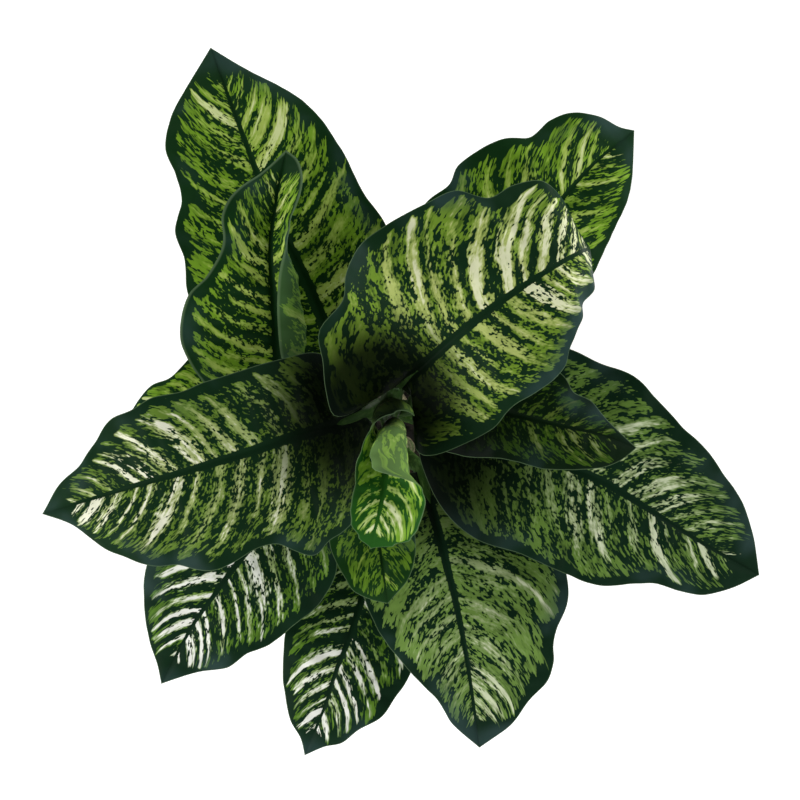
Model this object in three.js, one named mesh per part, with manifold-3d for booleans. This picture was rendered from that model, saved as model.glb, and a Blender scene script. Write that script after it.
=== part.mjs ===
// A potted dieffenbachia: a plain clay pot of soil, two canes, and thirteen broad leaves round them.
// Millimetres, +Z up. The origin is the middle of the pot's underside.
// Seen from above, +Y is the back of the plant and +X its right side.
import * as THREE from "three";
import { mergeVertices } from "three/addons/utils/BufferGeometryUtils.js";
import Module from "manifold-3d";

const wasm = await Module();
wasm.setup();

// ---- Driving dimensions ----

const CLEARANCE = 0.3; // between pieces that rest against each other

const POT = {
  height: 165,
  rimRadius: 95,
  rimHeight: 30,
  rimStep: 5, // how far the rim band stands out from the body
  baseRadius: 66,
  wall: 7,
  floor: 9,
  edge: 2, // how far the edges are bevelled
  sides: 40,
  drainRadius: 6,
  drainCircle: 38,
  drains: 4,
};

const SOIL = { top: 147, mound: 5, lump: 1.4, rings: 4 };

// Each cane: its line from its foot in the soil to its top, and its radius at each end.
const CANES = {
  main: {
    line: [[-6, -2, 92], [-7, -3, 170], [-10, -6, 250], [-9, -7, 336]],
    foot: 12,
    top: 8.5,
    scars: [158, 172, 186, 200, 216, 231, 246, 261, 276, 290, 303, 318],
  },
  front: {
    line: [[4, -36, 98], [1, -37, 160], [-6, -40, 210], [-10, -43, 246]],
    foot: 10.5,
    top: 7.5,
    scars: [160, 175, 190, 206, 221, 236],
  },
};
const CANE_SIDES = 12;
const SCAR = { height: 0.9, width: 3 };

// Half sizes of a stalk at its foot, where it meets the blade and at its end, which lies under the midrib at
// share `under` of it. clasp widens the foot round the cane; the drops are from the midrib to the stalk's middle.
const STALK = {
  foot: 7.5,
  clasp: 1.35,
  neck: 4,
  neckDrop: 3.8,
  end: 1.8,
  endDrop: 2.9,
  under: 0.14,
  sides: 8,
  steps: 9,
};

const BLADE = {
  thickness: 1.0,
  ribLeast: 0.5, // how far the midrib stands out below the blade at the tip
  ribDepth: 3.6, // and how much more near the base,
  ribStart: 0.06, // from this share of the midrib on
  veinSweep: 0.35, // how far the side veins run forward, for each unit that they run out
  fullWidth: 30, // a half narrower than this swells less
  along: 16,
};
const ACROSS = [0, 0.12, 0.4, 0.72, 1]; // steps from midrib to margin
const LINE_STEPS = 80; // points kept along a smooth line

// Each leaf: the cane and height its stalk leaves from, the points the stalk passes, the midrib in space, and the
// two margins as seen from above, base to tip. left and right are as seen along the leaf from base to tip.
// crown: how far each half swells above the midrib. rise: how high the margin lies over the midrib, base to tip.
// bulge: how far a curled half swells out sideways. wave: the height, number and start of the margin's waves.
const LEAVES = {
  leaf_crown_right: {
    cane: "main",
    node: 312,
    stalk: [[-5, 4, 345], [-5, 8, 395]],
    rib: [
      [-2, 11, 432], [10, 19, 457], [37.5, 43.5, 490], [75, 73.5, 508], [109, 96, 506],
      [133.5, 110, 486], [140, 113, 456], [142.5, 114.5, 425],
    ],
    left: [
      [-21, 0], [-38, -11], [-49.5, -12], [-56, 8], [-58, 28.5], [-61, 51], [-43, 75], [-40.5, 94], [-30, 115.5],
      [-10, 131], [16.5, 145.5], [42, 157], [66, 151], [84, 160.5], [107, 164], [121.5, 151], [130.5, 131],
    ],
    right: [
      [14, -3], [16, -18], [10.5, -33], [15.5, -41], [26, -41.5], [52.5, -31], [71, -20], [84, -5], [109, 10],
      [122, 22.5], [128, 42], [136.5, 60], [137, 72], [145, 82.5], [144, 97.5],
    ],
    crown: 7,
    rise: { left: [4, 12, 10, 4, -4, -8, -6, 0], right: [0, 2, 0, -6, -12, -12, -8, 0] },
    bulge: { left: [0, 0, 0, 0, 0, 6, 8, 0], right: [0, 0, 0, 0, 0, 0, 4, 0] },
    wave: { height: 3, count: 4, start: 0.1 },
  },
  leaf_crown_left: {
    cane: "main",
    node: 298,
    stalk: [[-18, -8, 335], [-23, -9, 380]],
    rib: [
      [-27, -10.5, 415], [-49, -19, 438], [-82.5, -28.5, 456], [-120, -41, 467], [-157.5, -52.5, 466],
      [-195, -63, 453], [-225, -72, 435], [-268.5, -85.5, 404],
    ],
    left: [
      [-17, -24], [-21, -48], [-31.5, -86], [-43, -99], [-52.5, -105], [-64, -116], [-79, -113], [-91.5, -108],
      [-109, -112], [-124, -122], [-142.5, -128], [-165, -124], [-187.5, -124], [-204, -118.5], [-225, -109],
      [-247.5, -93],
    ],
    right: [
      [-37.5, 19], [-61.5, 35], [-86, 31.5], [-120, 22], [-146, 13.5], [-165, 6], [-186, 1.5], [-202.5, -8],
      [-217.5, -15], [-230, -33], [-240, -49], [-255, -63],
    ],
    crown: 6,
    rise: { left: [-2, -8, -10, -10, -8, -4, 0], right: [-4, -6, 0, 4, 4, 2, 0] },
    wave: { height: 3, count: 4, start: 0.35 },
  },
  leaf_back_left_curled: {
    cane: "main",
    node: 284,
    stalk: [[-31, -9, 318], [-62, -13, 354]],
    rib: [
      [-88.5, -11, 378], [-92, 30, 406], [-94.5, 75, 429], [-97, 116, 440], [-92, 154, 432], [-85.5, 187.5, 412],
    ],
    left: [
      [-124, -7.5], [-146, 11], [-160, 32], [-165, 51], [-159, 78], [-145, 93], [-133, 116], [-133.5, 139],
      [-123, 157.5], [-103.5, 171],
    ],
    right: [
      [-84, 7.5], [-90, 37.5], [-92, 75], [-90, 97.5], [-85, 116], [-81, 136.5], [-75, 154], [-73, 166.5],
      [-76.5, 180],
    ],
    crown: 5,
    rise: { left: [0, 0, 4, 8, 8, 4, 0], right: [3, 16, 24, 27, 28, 20, 0] },
    bulge: { left: [0, 0], right: [0, 22, 28, 22, 4, 0, 0] },
    wave: { height: 2.5, count: 3, start: 0 },
  },
  leaf_back_right: {
    cane: "main",
    node: 256,
    stalk: [[-2, 11, 305], [4, 18, 352]],
    rib: [
      [9, 19.5, 388], [37.5, 52.5, 414], [75, 96, 427], [105, 130.5, 425], [125, 155, 418], [146, 178, 406],
      [176, 202.5, 383],
    ],
    left: [
      [-3, 45], [1.5, 101], [19, 147], [37, 162], [43, 175.5], [60, 188], [79, 196], [97.5, 197],
      [112.5, 210], [130, 216], [150, 213], [165, 205],
    ],
    right: [
      [41, 16.5], [90, 41], [129, 73.5], [144, 92], [155, 116], [167, 140], [172.5, 157.5], [175, 180],
    ],
    crown: 6,
    rise: { left: [0, 0, 2, 2, 0, 0], right: [0, -4, -10, -14, -10, 0] },
    wave: { height: 2.5, count: 4, start: 0.6 },
  },
  leaf_back_left: {
    cane: "main",
    node: 226,
    stalk: [[-26, 5, 285], [-37, 11, 335]],
    rib: [
      [-41, 13, 362], [-52.5, 45, 385], [-71, 91, 400], [-97.5, 146, 401], [-118, 199, 387],
      [-142.5, 265, 350],
    ],
    left: [
      [-75, 9], [-131, 37.5], [-159, 78], [-162, 106.5], [-169, 126], [-164, 150], [-168, 169], [-176, 187.5],
      [-172.5, 211.5], [-157.5, 240],
    ],
    right: [
      [-4, 34], [7.5, 75], [-10.5, 131], [-28.5, 157.5], [-45, 190], [-61.5, 214], [-84, 232.5], [-111, 246],
    ],
    crown: 6,
    rise: { left: [-2, -6, -8, -4, -2, 0], right: [0, 0, -2, -4, -2, 0] },
    wave: { height: 3, count: 4, start: 0.2 },
  },
  leaf_right_small: {
    cane: "main",
    node: 270,
    stalk: [[9, -5, 312]],
    rib: [
      [13, 2, 340], [37.5, -1.5, 358], [60, -5, 370], [83, -10.5, 377], [120, -19, 376], [148.5, -25.5, 367],
      [178, -36, 350],
    ],
    left: [[26, 24], [60, 34.5], [97.5, 31.5], [122, 19], [131, 6], [142.5, 0], [154, -13], [165, -24]],
    right: [
      [9, -15], [20, -33], [47, -42], [75, -44], [90, -47], [109, -52], [135, -52.5], [152, -51],
      [166.5, -45],
    ],
    crown: 4,
    rise: { left: [0, 2, 2, 0], right: [0, -4, -6, 0] },
    wave: { height: 2, count: 3, start: 0.5 },
  },
  leaf_right_broad: {
    cane: "main",
    node: 196,
    stalk: [[10, -12, 240], [24, -18, 275]],
    rib: [
      [30, -22, 295], [60, -28, 312], [91, -35.5, 322], [121, -48, 327], [151, -60.5, 328], [182, -79, 323],
      [212, -98, 312], [242, -116, 298], [271, -132, 280],
    ],
    left: [
      [38, 11], [76, 39], [110, 44], [129, 38], [151, 28], [176, 18], [193, 1.5], [212, -20],
      [228, -34], [241, -51], [257, -76], [266, -100],
    ],
    right: [
      [15, -34], [21, -62], [35, -86], [58, -105], [87, -115], [113.5, -126], [136, -135.5], [154, -140],
      [189, -138], [210, -144], [229, -147], [250, -142],
    ],
    crown: 6,
    rise: { left: [0, -2, -2, -4, -2, 0], right: [0, -4, -8, -10, -6, 0] },
    wave: { height: 2.5, count: 5, start: 0.15 },
  },
  leaf_left_under: {
    cane: "main",
    node: 211,
    stalk: [[-28, -12, 262], [-44, -16, 306]],
    rib: [[-55, -15, 332], [-97.5, 0, 351], [-142.5, 6, 356], [-180, -4, 349], [-211.5, -22.5, 333]],
    left: [[-75, -37.5], [-120, -49], [-165, -41], [-191, -31.5]],
    right: [
      [-75, 21], [-120, 51], [-146, 45], [-159, 31], [-172.5, 17], [-187.5, 11], [-197, 0], [-202.5, -9],
    ],
    crown: 4,
    rise: { left: [0, -2, -4, 0], right: [0, 2, 2, 0] },
    wave: { height: 2, count: 3, start: 0.7 },
  },
  leaf_front_young: {
    cane: "front",
    node: 240,
    stalk: [[-15, -50, 285], [-20, -56, 325]],
    rib: [[-21, -60, 345], [-18, -86, 364], [-15, -112.5, 374], [-12, -133.5, 373], [-9, -153, 362]],
    left: [[-6, -67.5], [7.5, -86], [12, -107], [10.5, -121.5], [6, -135]],
    right: [[-39, -73.5], [-52, -94], [-53, -109.5], [-48, -121.5], [-41, -135], [-35, -144], [-22.5, -150]],
    crown: 4,
    rise: { left: [0, 2, 4, 0], right: [0, 2, 4, 0] },
    wave: { height: 1.5, count: 2, start: 0.2 },
  },
  leaf_front_left: {
    cane: "front",
    node: 215,
    stalk: [[-27, -42, 255]],
    rib: [
      [-45.5, -42, 290], [-68, -61, 305], [-95, -91, 315], [-121, -121, 318], [-140, -147, 313],
      [-155, -168, 304], [-180, -214, 281],
    ],
    left: [
      [-36, -64], [-39, -95], [-47, -117], [-49, -132.5], [-59, -151.5], [-76, -167], [-100, -185],
      [-115, -191], [-130, -201.5], [-159, -207],
    ],
    right: [
      [-72, -30], [-114, -45], [-155, -72], [-179.5, -100], [-192, -129], [-193, -148], [-189, -180],
      [-183, -199],
    ],
    crown: 5,
    rise: { left: [0, -4, -8, -10, -6, 0], right: [0, -2, -2, -4, -4, 0] },
    wave: { height: 2.5, count: 4, start: 0.4 },
  },
  leaf_front_right: {
    cane: "front",
    node: 200,
    stalk: [[8, -46, 232]],
    rib: [
      [15, -53, 266], [26.5, -91, 289], [33, -116, 298], [42, -152, 301], [48, -182, 296], [53, -212.5, 284],
      [60, -262.5, 256],
    ],
    left: [
      [38, -47], [80, -68], [112, -102.5], [126, -134], [126, -153], [118, -173], [116, -186], [116, -199],
      [110, -214], [99, -225], [85, -244],
    ],
    right: [[-4, -61], [-25, -95], [-32, -129], [-24, -157], [-12, -181], [7.5, -205], [29, -227], [39, -244]],
    crown: 5,
    rise: { left: [0, -6, -10, -8, -4, 0], right: [0, 0, -4, -6, -4, 0] },
    wave: { height: 2.5, count: 4, start: 0.8 },
  },
  leaf_front_small: {
    cane: "front",
    node: 184,
    stalk: [[-6, -60, 212]],
    rib: [
      [-9, -76, 235], [-19, -114, 256], [-29, -151, 264], [-38, -179, 265], [-48, -204, 259],
      [-55, -226.5, 250], [-72, -268.5, 229],
    ],
    left: [
      [8, -95], [16, -130], [15, -172], [8.5, -205], [-6, -229], [-14, -239.5], [-32, -249], [-44, -259],
      [-57, -262],
    ],
    right: [
      [-30.5, -80], [-57, -107], [-76, -141], [-86, -175], [-88.5, -194.5], [-87, -221], [-83, -242.5],
      [-75, -256],
    ],
    crown: 4,
    rise: { left: [0, -2, -6, -4, 0], right: [0, -2, -6, -4, 0] },
    wave: { height: 2, count: 3, start: 0 },
  },
};

// The youngest leaf, still rolled at its base: its halves' true widths and their radii of roll, base to tip.
const ROLLED = {
  cane: "main",
  node: 328,
  stalk: [[-9, -14, 370], [-7, -26, 412]],
  rib: [
    [-6.5, -29, 440], [-7, -32, 464], [-9, -42, 480], [-10.5, -54, 486],
    [-12, -67, 488], [-15, -82, 489], [-19, -98, 485], [-22, -112, 476],
  ],
  east: {
    width: [8, 24, 34, 42, 50, 61, 66, 41, 37, 34, 29, 17, 0],
    radius: [5, 8, 9, 9, 10.5, 13.5, 17, 29, 42, 50, 60, 60, 60],
  },
  west: {
    width: [10, 46, 66, 44, 32, 28, 25, 23, 23, 22, 19, 11, 0],
    radius: [15, 15.5, 15.5, 14.5, 16, 20, 30, 42, 50, 60, 60, 60, 60],
  },
  across: 9,
  along: 28,
  crowding: 1.2,
};

const COLOURS = {
  pot: { color: 0xb0643f, roughness: 0.85, metalness: 0 },
  soil: { color: 0x3a2a1e, roughness: 0.95, metalness: 0 },
  cane: { color: 0x7d8a55, roughness: 0.6, metalness: 0 },
  leaf: { color: 0x4f7d33, roughness: 0.4, metalness: 0 },
};

// ---- Small helpers ----

const UP = new THREE.Vector3(0, 0, 1);
const vec = ([x, y, z = 0]) => new THREE.Vector3(x, y, z);

// count + 1 points, evenly spaced along a smooth curve through the given points.
const smoothLine = (points, count) =>
  new THREE.CatmullRomCurve3(points.map(vec), false, "centripetal").getSpacedPoints(count);

// The value at share u of a list of numbers spread evenly from 0 to 1, eased between them.
function along(list, u) {
  const place = u * (list.length - 1);
  const i = Math.min(Math.floor(place), list.length - 2);
  return THREE.MathUtils.lerp(list[i], list[i + 1], THREE.MathUtils.smoothstep(place - i, 0, 1));
}

// The point at share u of a list of evenly spaced points.
function pointAlong(points, u) {
  const place = u * (points.length - 1);
  const i = Math.min(Math.floor(place), points.length - 2);
  return points[i].clone().lerp(points[i + 1], place - i);
}

const tangentAlong = (points, u) => {
  const step = 1 / (points.length - 1);
  const before = pointAlong(points, Math.max(0, u - step));
  return pointAlong(points, Math.min(1, u + step)).sub(before).normalize();
};

function geometryOf(vertices, faces) {
  const geometry = new THREE.BufferGeometry();
  geometry.setAttribute("position", new THREE.Float32BufferAttribute(vertices.flatMap((v) => [v.x, v.y, v.z]), 3));
  geometry.setIndex(faces.flat());
  return geometry;
}

// A closed geometry as a solid that can be joined and cut.
function solidOf(geometry) {
  const bare = geometry.clone().deleteAttribute("normal").deleteAttribute("uv");
  const merged = mergeVertices(bare, 1e-4);
  const index = [];
  for (let i = 0; i < merged.index.count; i += 3) {
    const [a, b, c] = [0, 1, 2].map((k) => merged.index.getX(i + k));
    if (a !== b && b !== c && c !== a) index.push(a, b, c);
  }
  return new wasm.Manifold(
    new wasm.Mesh({
      numProp: 3,
      vertProperties: new Float32Array(merged.attributes.position.array),
      triVerts: new Uint32Array(index),
    }),
  );
}

// The largest body of a solid as a named mesh.
function meshOf(name, solid, look) {
  const [body] = solid.decompose().sort((a, b) => b.volume() - a.volume());
  const { vertProperties, triVerts } = body.getMesh();
  const geometry = new THREE.BufferGeometry();
  geometry.setAttribute("position", new THREE.Float32BufferAttribute(vertProperties, 3));
  geometry.setIndex([...triVerts]);
  geometry.computeVertexNormals();
  const mesh = new THREE.Mesh(geometry, new THREE.MeshStandardMaterial({ ...look, side: THREE.DoubleSide }));
  mesh.name = name;
  return mesh;
}

// A closed tube through the given points. sizeAt(share) gives its half sizes sideways and upwards,
// and firstSide is the sideways direction at its start.
function tube(points, sides, sizeAt, firstSide) {
  const vertices = [];
  const faces = [];
  const side = firstSide.clone();
  points.forEach((point, i) => {
    const share = i / (points.length - 1);
    const ahead = tangentAlong(points, share);
    side.addScaledVector(ahead, -side.dot(ahead)).normalize();
    const over = new THREE.Vector3().crossVectors(side, ahead);
    const [sideways, upwards] = sizeAt(share);
    for (let k = 0; k < sides; k++) {
      const turn = (2 * Math.PI * k) / sides;
      vertices.push(
        point
          .clone()
          .addScaledVector(side, sideways * Math.cos(turn))
          .addScaledVector(over, -upwards * Math.sin(turn)),
      );
    }
  });
  const ring = (i, k) => i * sides + (k % sides);
  for (let i = 0; i < points.length - 1; i++) {
    for (let k = 0; k < sides; k++) {
      faces.push([ring(i, k), ring(i, k + 1), ring(i + 1, k + 1)]);
      faces.push([ring(i, k), ring(i + 1, k + 1), ring(i + 1, k)]);
    }
  }
  const last = points.length - 1;
  for (let k = 1; k < sides - 1; k++) {
    faces.push([ring(0, 0), ring(0, k + 1), ring(0, k)]);
    faces.push([ring(last, 0), ring(last, k), ring(last, k + 1)]);
  }
  return solidOf(geometryOf(vertices, faces));
}

// ---- Pot and soil ----

// The radius of the pot's inner wall at a height.
const innerRadius = (z) =>
  THREE.MathUtils.lerp(POT.baseRadius, POT.rimRadius - POT.rimStep, z / POT.height) - POT.wall;

function makePot() {
  const { height, rimRadius, rimHeight, rimStep, baseRadius, wall, floor, edge } = POT;
  const bodyTop = height - rimHeight;
  const bodyRadius = THREE.MathUtils.lerp(baseRadius, rimRadius - rimStep, bodyTop / height);
  const profile = [
    [0, 0],
    [baseRadius - edge, 0],
    [baseRadius, edge],
    [bodyRadius, bodyTop - edge],
    [rimRadius - edge, bodyTop],
    [rimRadius - edge / 2, bodyTop + edge],
    [rimRadius, height - 1.5 * edge],
    [rimRadius - edge, height],
    [rimRadius - rimStep - wall + edge, height],
    [innerRadius(height) - edge / 4, height - edge],
    [innerRadius(floor), floor],
    [0, floor],
  ].map(([r, z]) => new THREE.Vector2(r, z));
  const lathe = new THREE.LatheGeometry(profile, POT.sides).rotateX(Math.PI / 2);
  let pot = solidOf(lathe);
  for (let i = 0; i < POT.drains; i++) {
    const turn = ((i + 0.5) * 2 * Math.PI) / POT.drains;
    const drain = new THREE.CylinderGeometry(POT.drainRadius, POT.drainRadius, 3 * floor, 12).rotateX(Math.PI / 2);
    drain.translate(POT.drainCircle * Math.cos(turn), POT.drainCircle * Math.sin(turn), floor / 2);
    pot = pot.subtract(solidOf(drain));
  }
  return meshOf("pot", pot, COLOURS.pot);
}

// How high the soil lies above its rim at a place, mounded in the middle and a little lumpy.
const soilRise = (x, y) => {
  const out = Math.hypot(x, y) / innerRadius(SOIL.top);
  return SOIL.mound * (1 - out * out) + SOIL.lump * Math.sin(0.21 * x + 1) * Math.cos(0.17 * y - 0.5) * (1 - out);
};

function makeSoil(canes) {
  const vertices = [vec([0, 0, SOIL.top + soilRise(0, 0)])];
  const faces = [];
  const { rings } = SOIL;
  const { sides } = POT;
  const bottom = POT.floor + CLEARANCE;
  const addRing = (radius, height) => {
    for (let k = 0; k < sides; k++) {
      const turn = (2 * Math.PI * k) / sides;
      const [x, y] = [radius * Math.cos(turn), radius * Math.sin(turn)];
      vertices.push(vec([x, y, height ?? SOIL.top + soilRise(x, y)]));
    }
  };
  for (let i = 1; i <= rings; i++) addRing(((innerRadius(SOIL.top) - CLEARANCE) * i) / rings);
  addRing(innerRadius(bottom) - CLEARANCE, bottom);
  vertices.push(vec([0, 0, bottom]));
  const at = (i, k) => 1 + (i - 1) * sides + (k % sides);
  for (let k = 0; k < sides; k++) {
    faces.push([0, at(1, k), at(1, k + 1)]);
    for (let i = 1; i <= rings; i++) {
      faces.push([at(i, k), at(i + 1, k), at(i + 1, k + 1)]);
      faces.push([at(i, k), at(i + 1, k + 1), at(i, k + 1)]);
    }
    faces.push([vertices.length - 1, at(rings + 1, k + 1), at(rings + 1, k)]);
  }
  let soil = solidOf(geometryOf(vertices, faces));
  for (const cane of Object.values(canes)) soil = soil.subtract(cane.room);
  return meshOf("soil", soil, COLOURS.soil);
}

// ---- Canes ----

// A cane's solid, grown all round by extra, with a low ring at each leaf scar.
function caneSolid({ line, foot, top, scars }, extra = 0) {
  const path = smoothLine(line, LINE_STEPS);
  const [low, high] = [line[0][2], line.at(-1)[2]];
  const heights = [low, ...scars.flatMap((z) => [z - SCAR.width, z, z + 0.6 * SCAR.width]), high];
  const points = [...new Set(heights)]
    .sort((a, b) => a - b)
    .map((z) => pointAlong(path, THREE.MathUtils.clamp((z - low) / (high - low), 0, 1)));
  points[0].z -= extra;
  points.at(-1).z += extra;
  const shares = points.map((p) => (p.z - low) / (high - low));
  const radiusAt = (share) => {
    const i = Math.round(share * (points.length - 1));
    const ringed = scars.includes(Math.round(points[i].z)) ? SCAR.height : 0;
    return THREE.MathUtils.lerp(foot, top, shares[i]) + ringed + extra;
  };
  return tube(points, CANE_SIDES, (share) => [radiusAt(share), radiusAt(share)], vec([1, 0, 0]));
}

function makeCanes() {
  const canes = {};
  for (const [name, spec] of Object.entries(CANES)) {
    canes[name] = {
      path: smoothLine(spec.line, LINE_STEPS),
      mesh: meshOf("cane_" + name, caneSolid(spec), COLOURS.cane),
      room: caneSolid(spec, CLEARANCE),
      stalkRooms: [],
    };
  }
  return canes;
}

// The point on a cane's middle line at a height.
function onCane(cane, height) {
  const [low, high] = [cane.path[0].z, cane.path.at(-1).z];
  return pointAlong(cane.path, (height - low) / (high - low));
}

// ---- Leaves ----

// The leaf stalk, grown all round by extra. It clasps the cane at its foot and ends under the base of the midrib.
function stalkSolid(spec, cane, ribLine, extra = 0) {
  const start = onCane(cane, spec.node);
  const neck = ribLine[0].clone().addScaledVector(UP, -STALK.neckDrop);
  const end = pointAlong(ribLine, STALK.under).addScaledVector(UP, -STALK.endDrop);
  const points = smoothLine([start.toArray(), ...spec.stalk, neck.toArray(), end.toArray()], STALK.steps);
  const neckShare = 1 - 1 / STALK.steps;
  const sizeAt = (share) => {
    const closeToNeck = Math.pow(Math.min(1, share / neckShare), 0.6);
    const size = share <= neckShare ? THREE.MathUtils.lerp(STALK.foot, STALK.neck, closeToNeck) : STALK.end;
    return [size * THREE.MathUtils.lerp(STALK.clasp, 1, closeToNeck) + extra, size + extra];
  };
  const lean = ribLine[0].clone().sub(points[0]);
  return tube(points, STALK.sides, sizeAt, vec([-lean.y, lean.x, 0]));
}

// A stalk cut clear of its cane and of the younger stalks already made on it.
function makeStalk(spec, cane, ribLine) {
  const clear = [cane.room, ...cane.stalkRooms].reduce(
    (solid, room) => solid.subtract(room),
    stalkSolid(spec, cane, ribLine),
  );
  cane.stalkRooms.push(stalkSolid(spec, cane, ribLine, CLEARANCE));
  return clear.decompose().sort((a, b) => b.volume() - a.volume())[0];
}

// Stations from base to tip, closer together at the tip and most of all at the base.
const stations = (count) =>
  Array.from({ length: count + 1 }, (_, i) => {
    const even = i / count;
    return (Math.pow(even, 1.6) + (1 - Math.cos(Math.PI * even)) / 2) / 2;
  });

// Where the vein that starts at each station of the midrib meets the margin, as seen from above.
function veinEnds(spec, side, ribLine, at) {
  const ends = [spec.rib[0], ...spec[side], spec.rib.at(-1)].map(([x, y]) => [x, y, 0]);
  const margin = smoothLine(ends, 2 * LINE_STEPS);
  const flatRib = ribLine.map((p) => p.clone().setZ(0));
  const length = ribLine.reduce((sum, p, i) => (i ? sum + p.distanceTo(ribLine[i - 1]) : 0), 0);
  let furthest = 0;
  const starts = margin.map((p, j) => {
    const gaps = flatRib.map((q) => q.distanceTo(p));
    const near = gaps.indexOf(Math.min(...gaps));
    furthest = Math.max(furthest, near / (flatRib.length - 1) - (BLADE.veinSweep * gaps[near]) / length);
    return THREE.MathUtils.lerp(j / (margin.length - 1), furthest, 0.6);
  });
  starts[starts.length - 1] = 1;
  return at.map((u) => {
    const j = Math.max(1, starts.findIndex((s) => s >= u));
    const share = (u - starts[j - 1]) / Math.max(1e-6, starts[j] - starts[j - 1]);
    return margin[j - 1].clone().lerp(margin[j], THREE.MathUtils.clamp(share, 0, 1));
  });
}

// One half of a blade: rows of points from the midrib to the margin, one row for each station.
function halfBlade(spec, side, ribLine, at) {
  const ends = veinEnds(spec, side, ribLine, at);
  return at.map((u, i) => {
    const root = pointAlong(ribLine, u);
    const ahead = tangentAlong(ribLine, u).setZ(0).normalize();
    const out = new THREE.Vector3(-ahead.y, ahead.x, 0).multiplyScalar(side === "left" ? 1 : -1);
    const end = ends[i].clone().setZ(root.z + along(spec.rise[side], u));
    const { height, count, start } = spec.wave;
    const waving = height * Math.sin(2 * Math.PI * (count * u + start)) * Math.sin(Math.PI * u);
    end.z += side === "left" ? waving : -waving;
    const width = Math.hypot(end.x - root.x, end.y - root.y);
    const lift = spec.crown * Math.min(1, width / BLADE.fullWidth);
    const swell = spec.bulge ? along(spec.bulge[side], u) : 0;
    const inner = root.clone().lerp(end, 1 / 3).addScaledVector(UP, lift).addScaledVector(out, swell);
    const outer = root.clone().lerp(end, 2 / 3).addScaledVector(UP, lift).addScaledVector(out, swell);
    if (swell) inner.z = root.z;
    if (swell) outer.z = end.z;
    const curve = new THREE.CubicBezierCurve3(root, inner, outer, end);
    return ACROSS.map((s) => curve.getPoint(s));
  });
}

// The upward normal of a sheet at one of its points.
function sheetNormal(rows, i, j) {
  const row = THREE.MathUtils.clamp(i, 1, rows.length - 2);
  const line = rows[row];
  const forward = rows[row + 1][j].clone().sub(rows[row - 1][j]);
  const across = line[Math.min(line.length - 1, j + 1)].clone().sub(line[Math.max(0, j - 1)]);
  return across.cross(forward).normalize();
}

// A thin closed sheet over rows of points, thickened downwards by depthAt(row, column).
function sheetSolid(rows, depthAt, normalAt = (i, j) => sheetNormal(rows, i, j)) {
  const [high, wide] = [rows.length - 1, rows[0].length - 1];
  const tops = [];
  const undersides = [];
  rows.forEach((row, i) =>
    row.forEach((point, j) => {
      const ends = i === 0 || i === high;
      const column = ends ? Math.floor(wide / 2) : j;
      tops.push(rows[i][column].clone());
      const below = normalAt(i, column).clone().multiplyScalar(-depthAt(i, column));
      undersides.push(rows[i][column].clone().add(below));
    }),
  );
  const offset = tops.length;
  const at = (i, j) => i * (wide + 1) + j;
  const faces = [];
  const addFace = (a, b, c) => {
    faces.push([a, b, c], [a + offset, c + offset, b + offset]);
  };
  const addRim = (a, b) => {
    faces.push([a, b + offset, a + offset], [a, b, b + offset]);
  };
  for (let i = 0; i < high; i++) {
    for (let j = 0; j < wide; j++) {
      addFace(at(i, j), at(i + 1, j + 1), at(i + 1, j));
      addFace(at(i, j), at(i, j + 1), at(i + 1, j + 1));
    }
    addRim(at(i, 0), at(i + 1, 0));
    addRim(at(i + 1, wide), at(i, wide));
  }
  return solidOf(geometryOf([...tops, ...undersides], faces));
}

// Blade thickness with the midrib standing out below it, deepest at the base.
const bladeDepth = (u, onRib) =>
  BLADE.thickness +
  (onRib ? BLADE.ribLeast + BLADE.ribDepth * Math.pow(1 - u, 1.2) * Math.min(1, u / BLADE.ribStart) : 0);

function makeLeaf(name, spec, canes) {
  const ribLine = smoothLine(spec.rib, LINE_STEPS);
  const at = stations(BLADE.along);
  const left = halfBlade(spec, "left", ribLine, at);
  const right = halfBlade(spec, "right", ribLine, at);
  const rows = at.map((_, i) => [...left[i].slice(1).reverse(), ...right[i]]);
  const middle = ACROSS.length - 1;
  const blade = sheetSolid(rows, (i, j) => bladeDepth(at[i], j === middle));
  return meshOf(name, blade.add(makeStalk(spec, canes[spec.cane], ribLine)), COLOURS.leaf);
}

// One half of the rolled leaf: each row is an arc that curls up from the midrib. Gives its points, with the
// direction from each to the arc's middle.
function rolledHalf(spec, side, ribLine, at) {
  return at.map((u) => {
    const root = pointAlong(ribLine, u);
    const ahead = tangentAlong(ribLine, u);
    const east = new THREE.Vector3(-ahead.y, ahead.x, 0).normalize();
    const over = new THREE.Vector3().crossVectors(ahead, east);
    const out = east.multiplyScalar(side === "east" ? 1 : -1);
    const width = along(spec[side].width, u);
    const radius = along(spec[side].radius, u);
    const middle = root.addScaledVector(over, radius);
    return Array.from({ length: spec.across + 1 }, (_, k) => {
      const turn = (width * k) / spec.across / radius;
      const inward = over.clone().multiplyScalar(Math.cos(turn)).addScaledVector(out, -Math.sin(turn));
      return { point: middle.clone().addScaledVector(inward, -radius), inward };
    });
  });
}

function makeRolledLeaf(name, spec, canes) {
  const ribLine = smoothLine(spec.rib, LINE_STEPS);
  const at = Array.from({ length: spec.along + 1 }, (_, i) => Math.pow(i / spec.along, spec.crowding));
  const east = rolledHalf(spec, "east", ribLine, at);
  const west = rolledHalf(spec, "west", ribLine, at);
  const rows = at.map((_, i) => [...east[i].slice(1).reverse(), ...west[i]]);
  const blade = sheetSolid(
    rows.map((row) => row.map(({ point }) => point)),
    (i, j) => bladeDepth(0.5 + at[i] / 2, j === spec.across),
    (i, j) => rows[i][j].inward,
  );
  return meshOf(name, blade.add(makeStalk(spec, canes[spec.cane], ribLine)), COLOURS.leaf);
}

// ---- The plant ----

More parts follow.
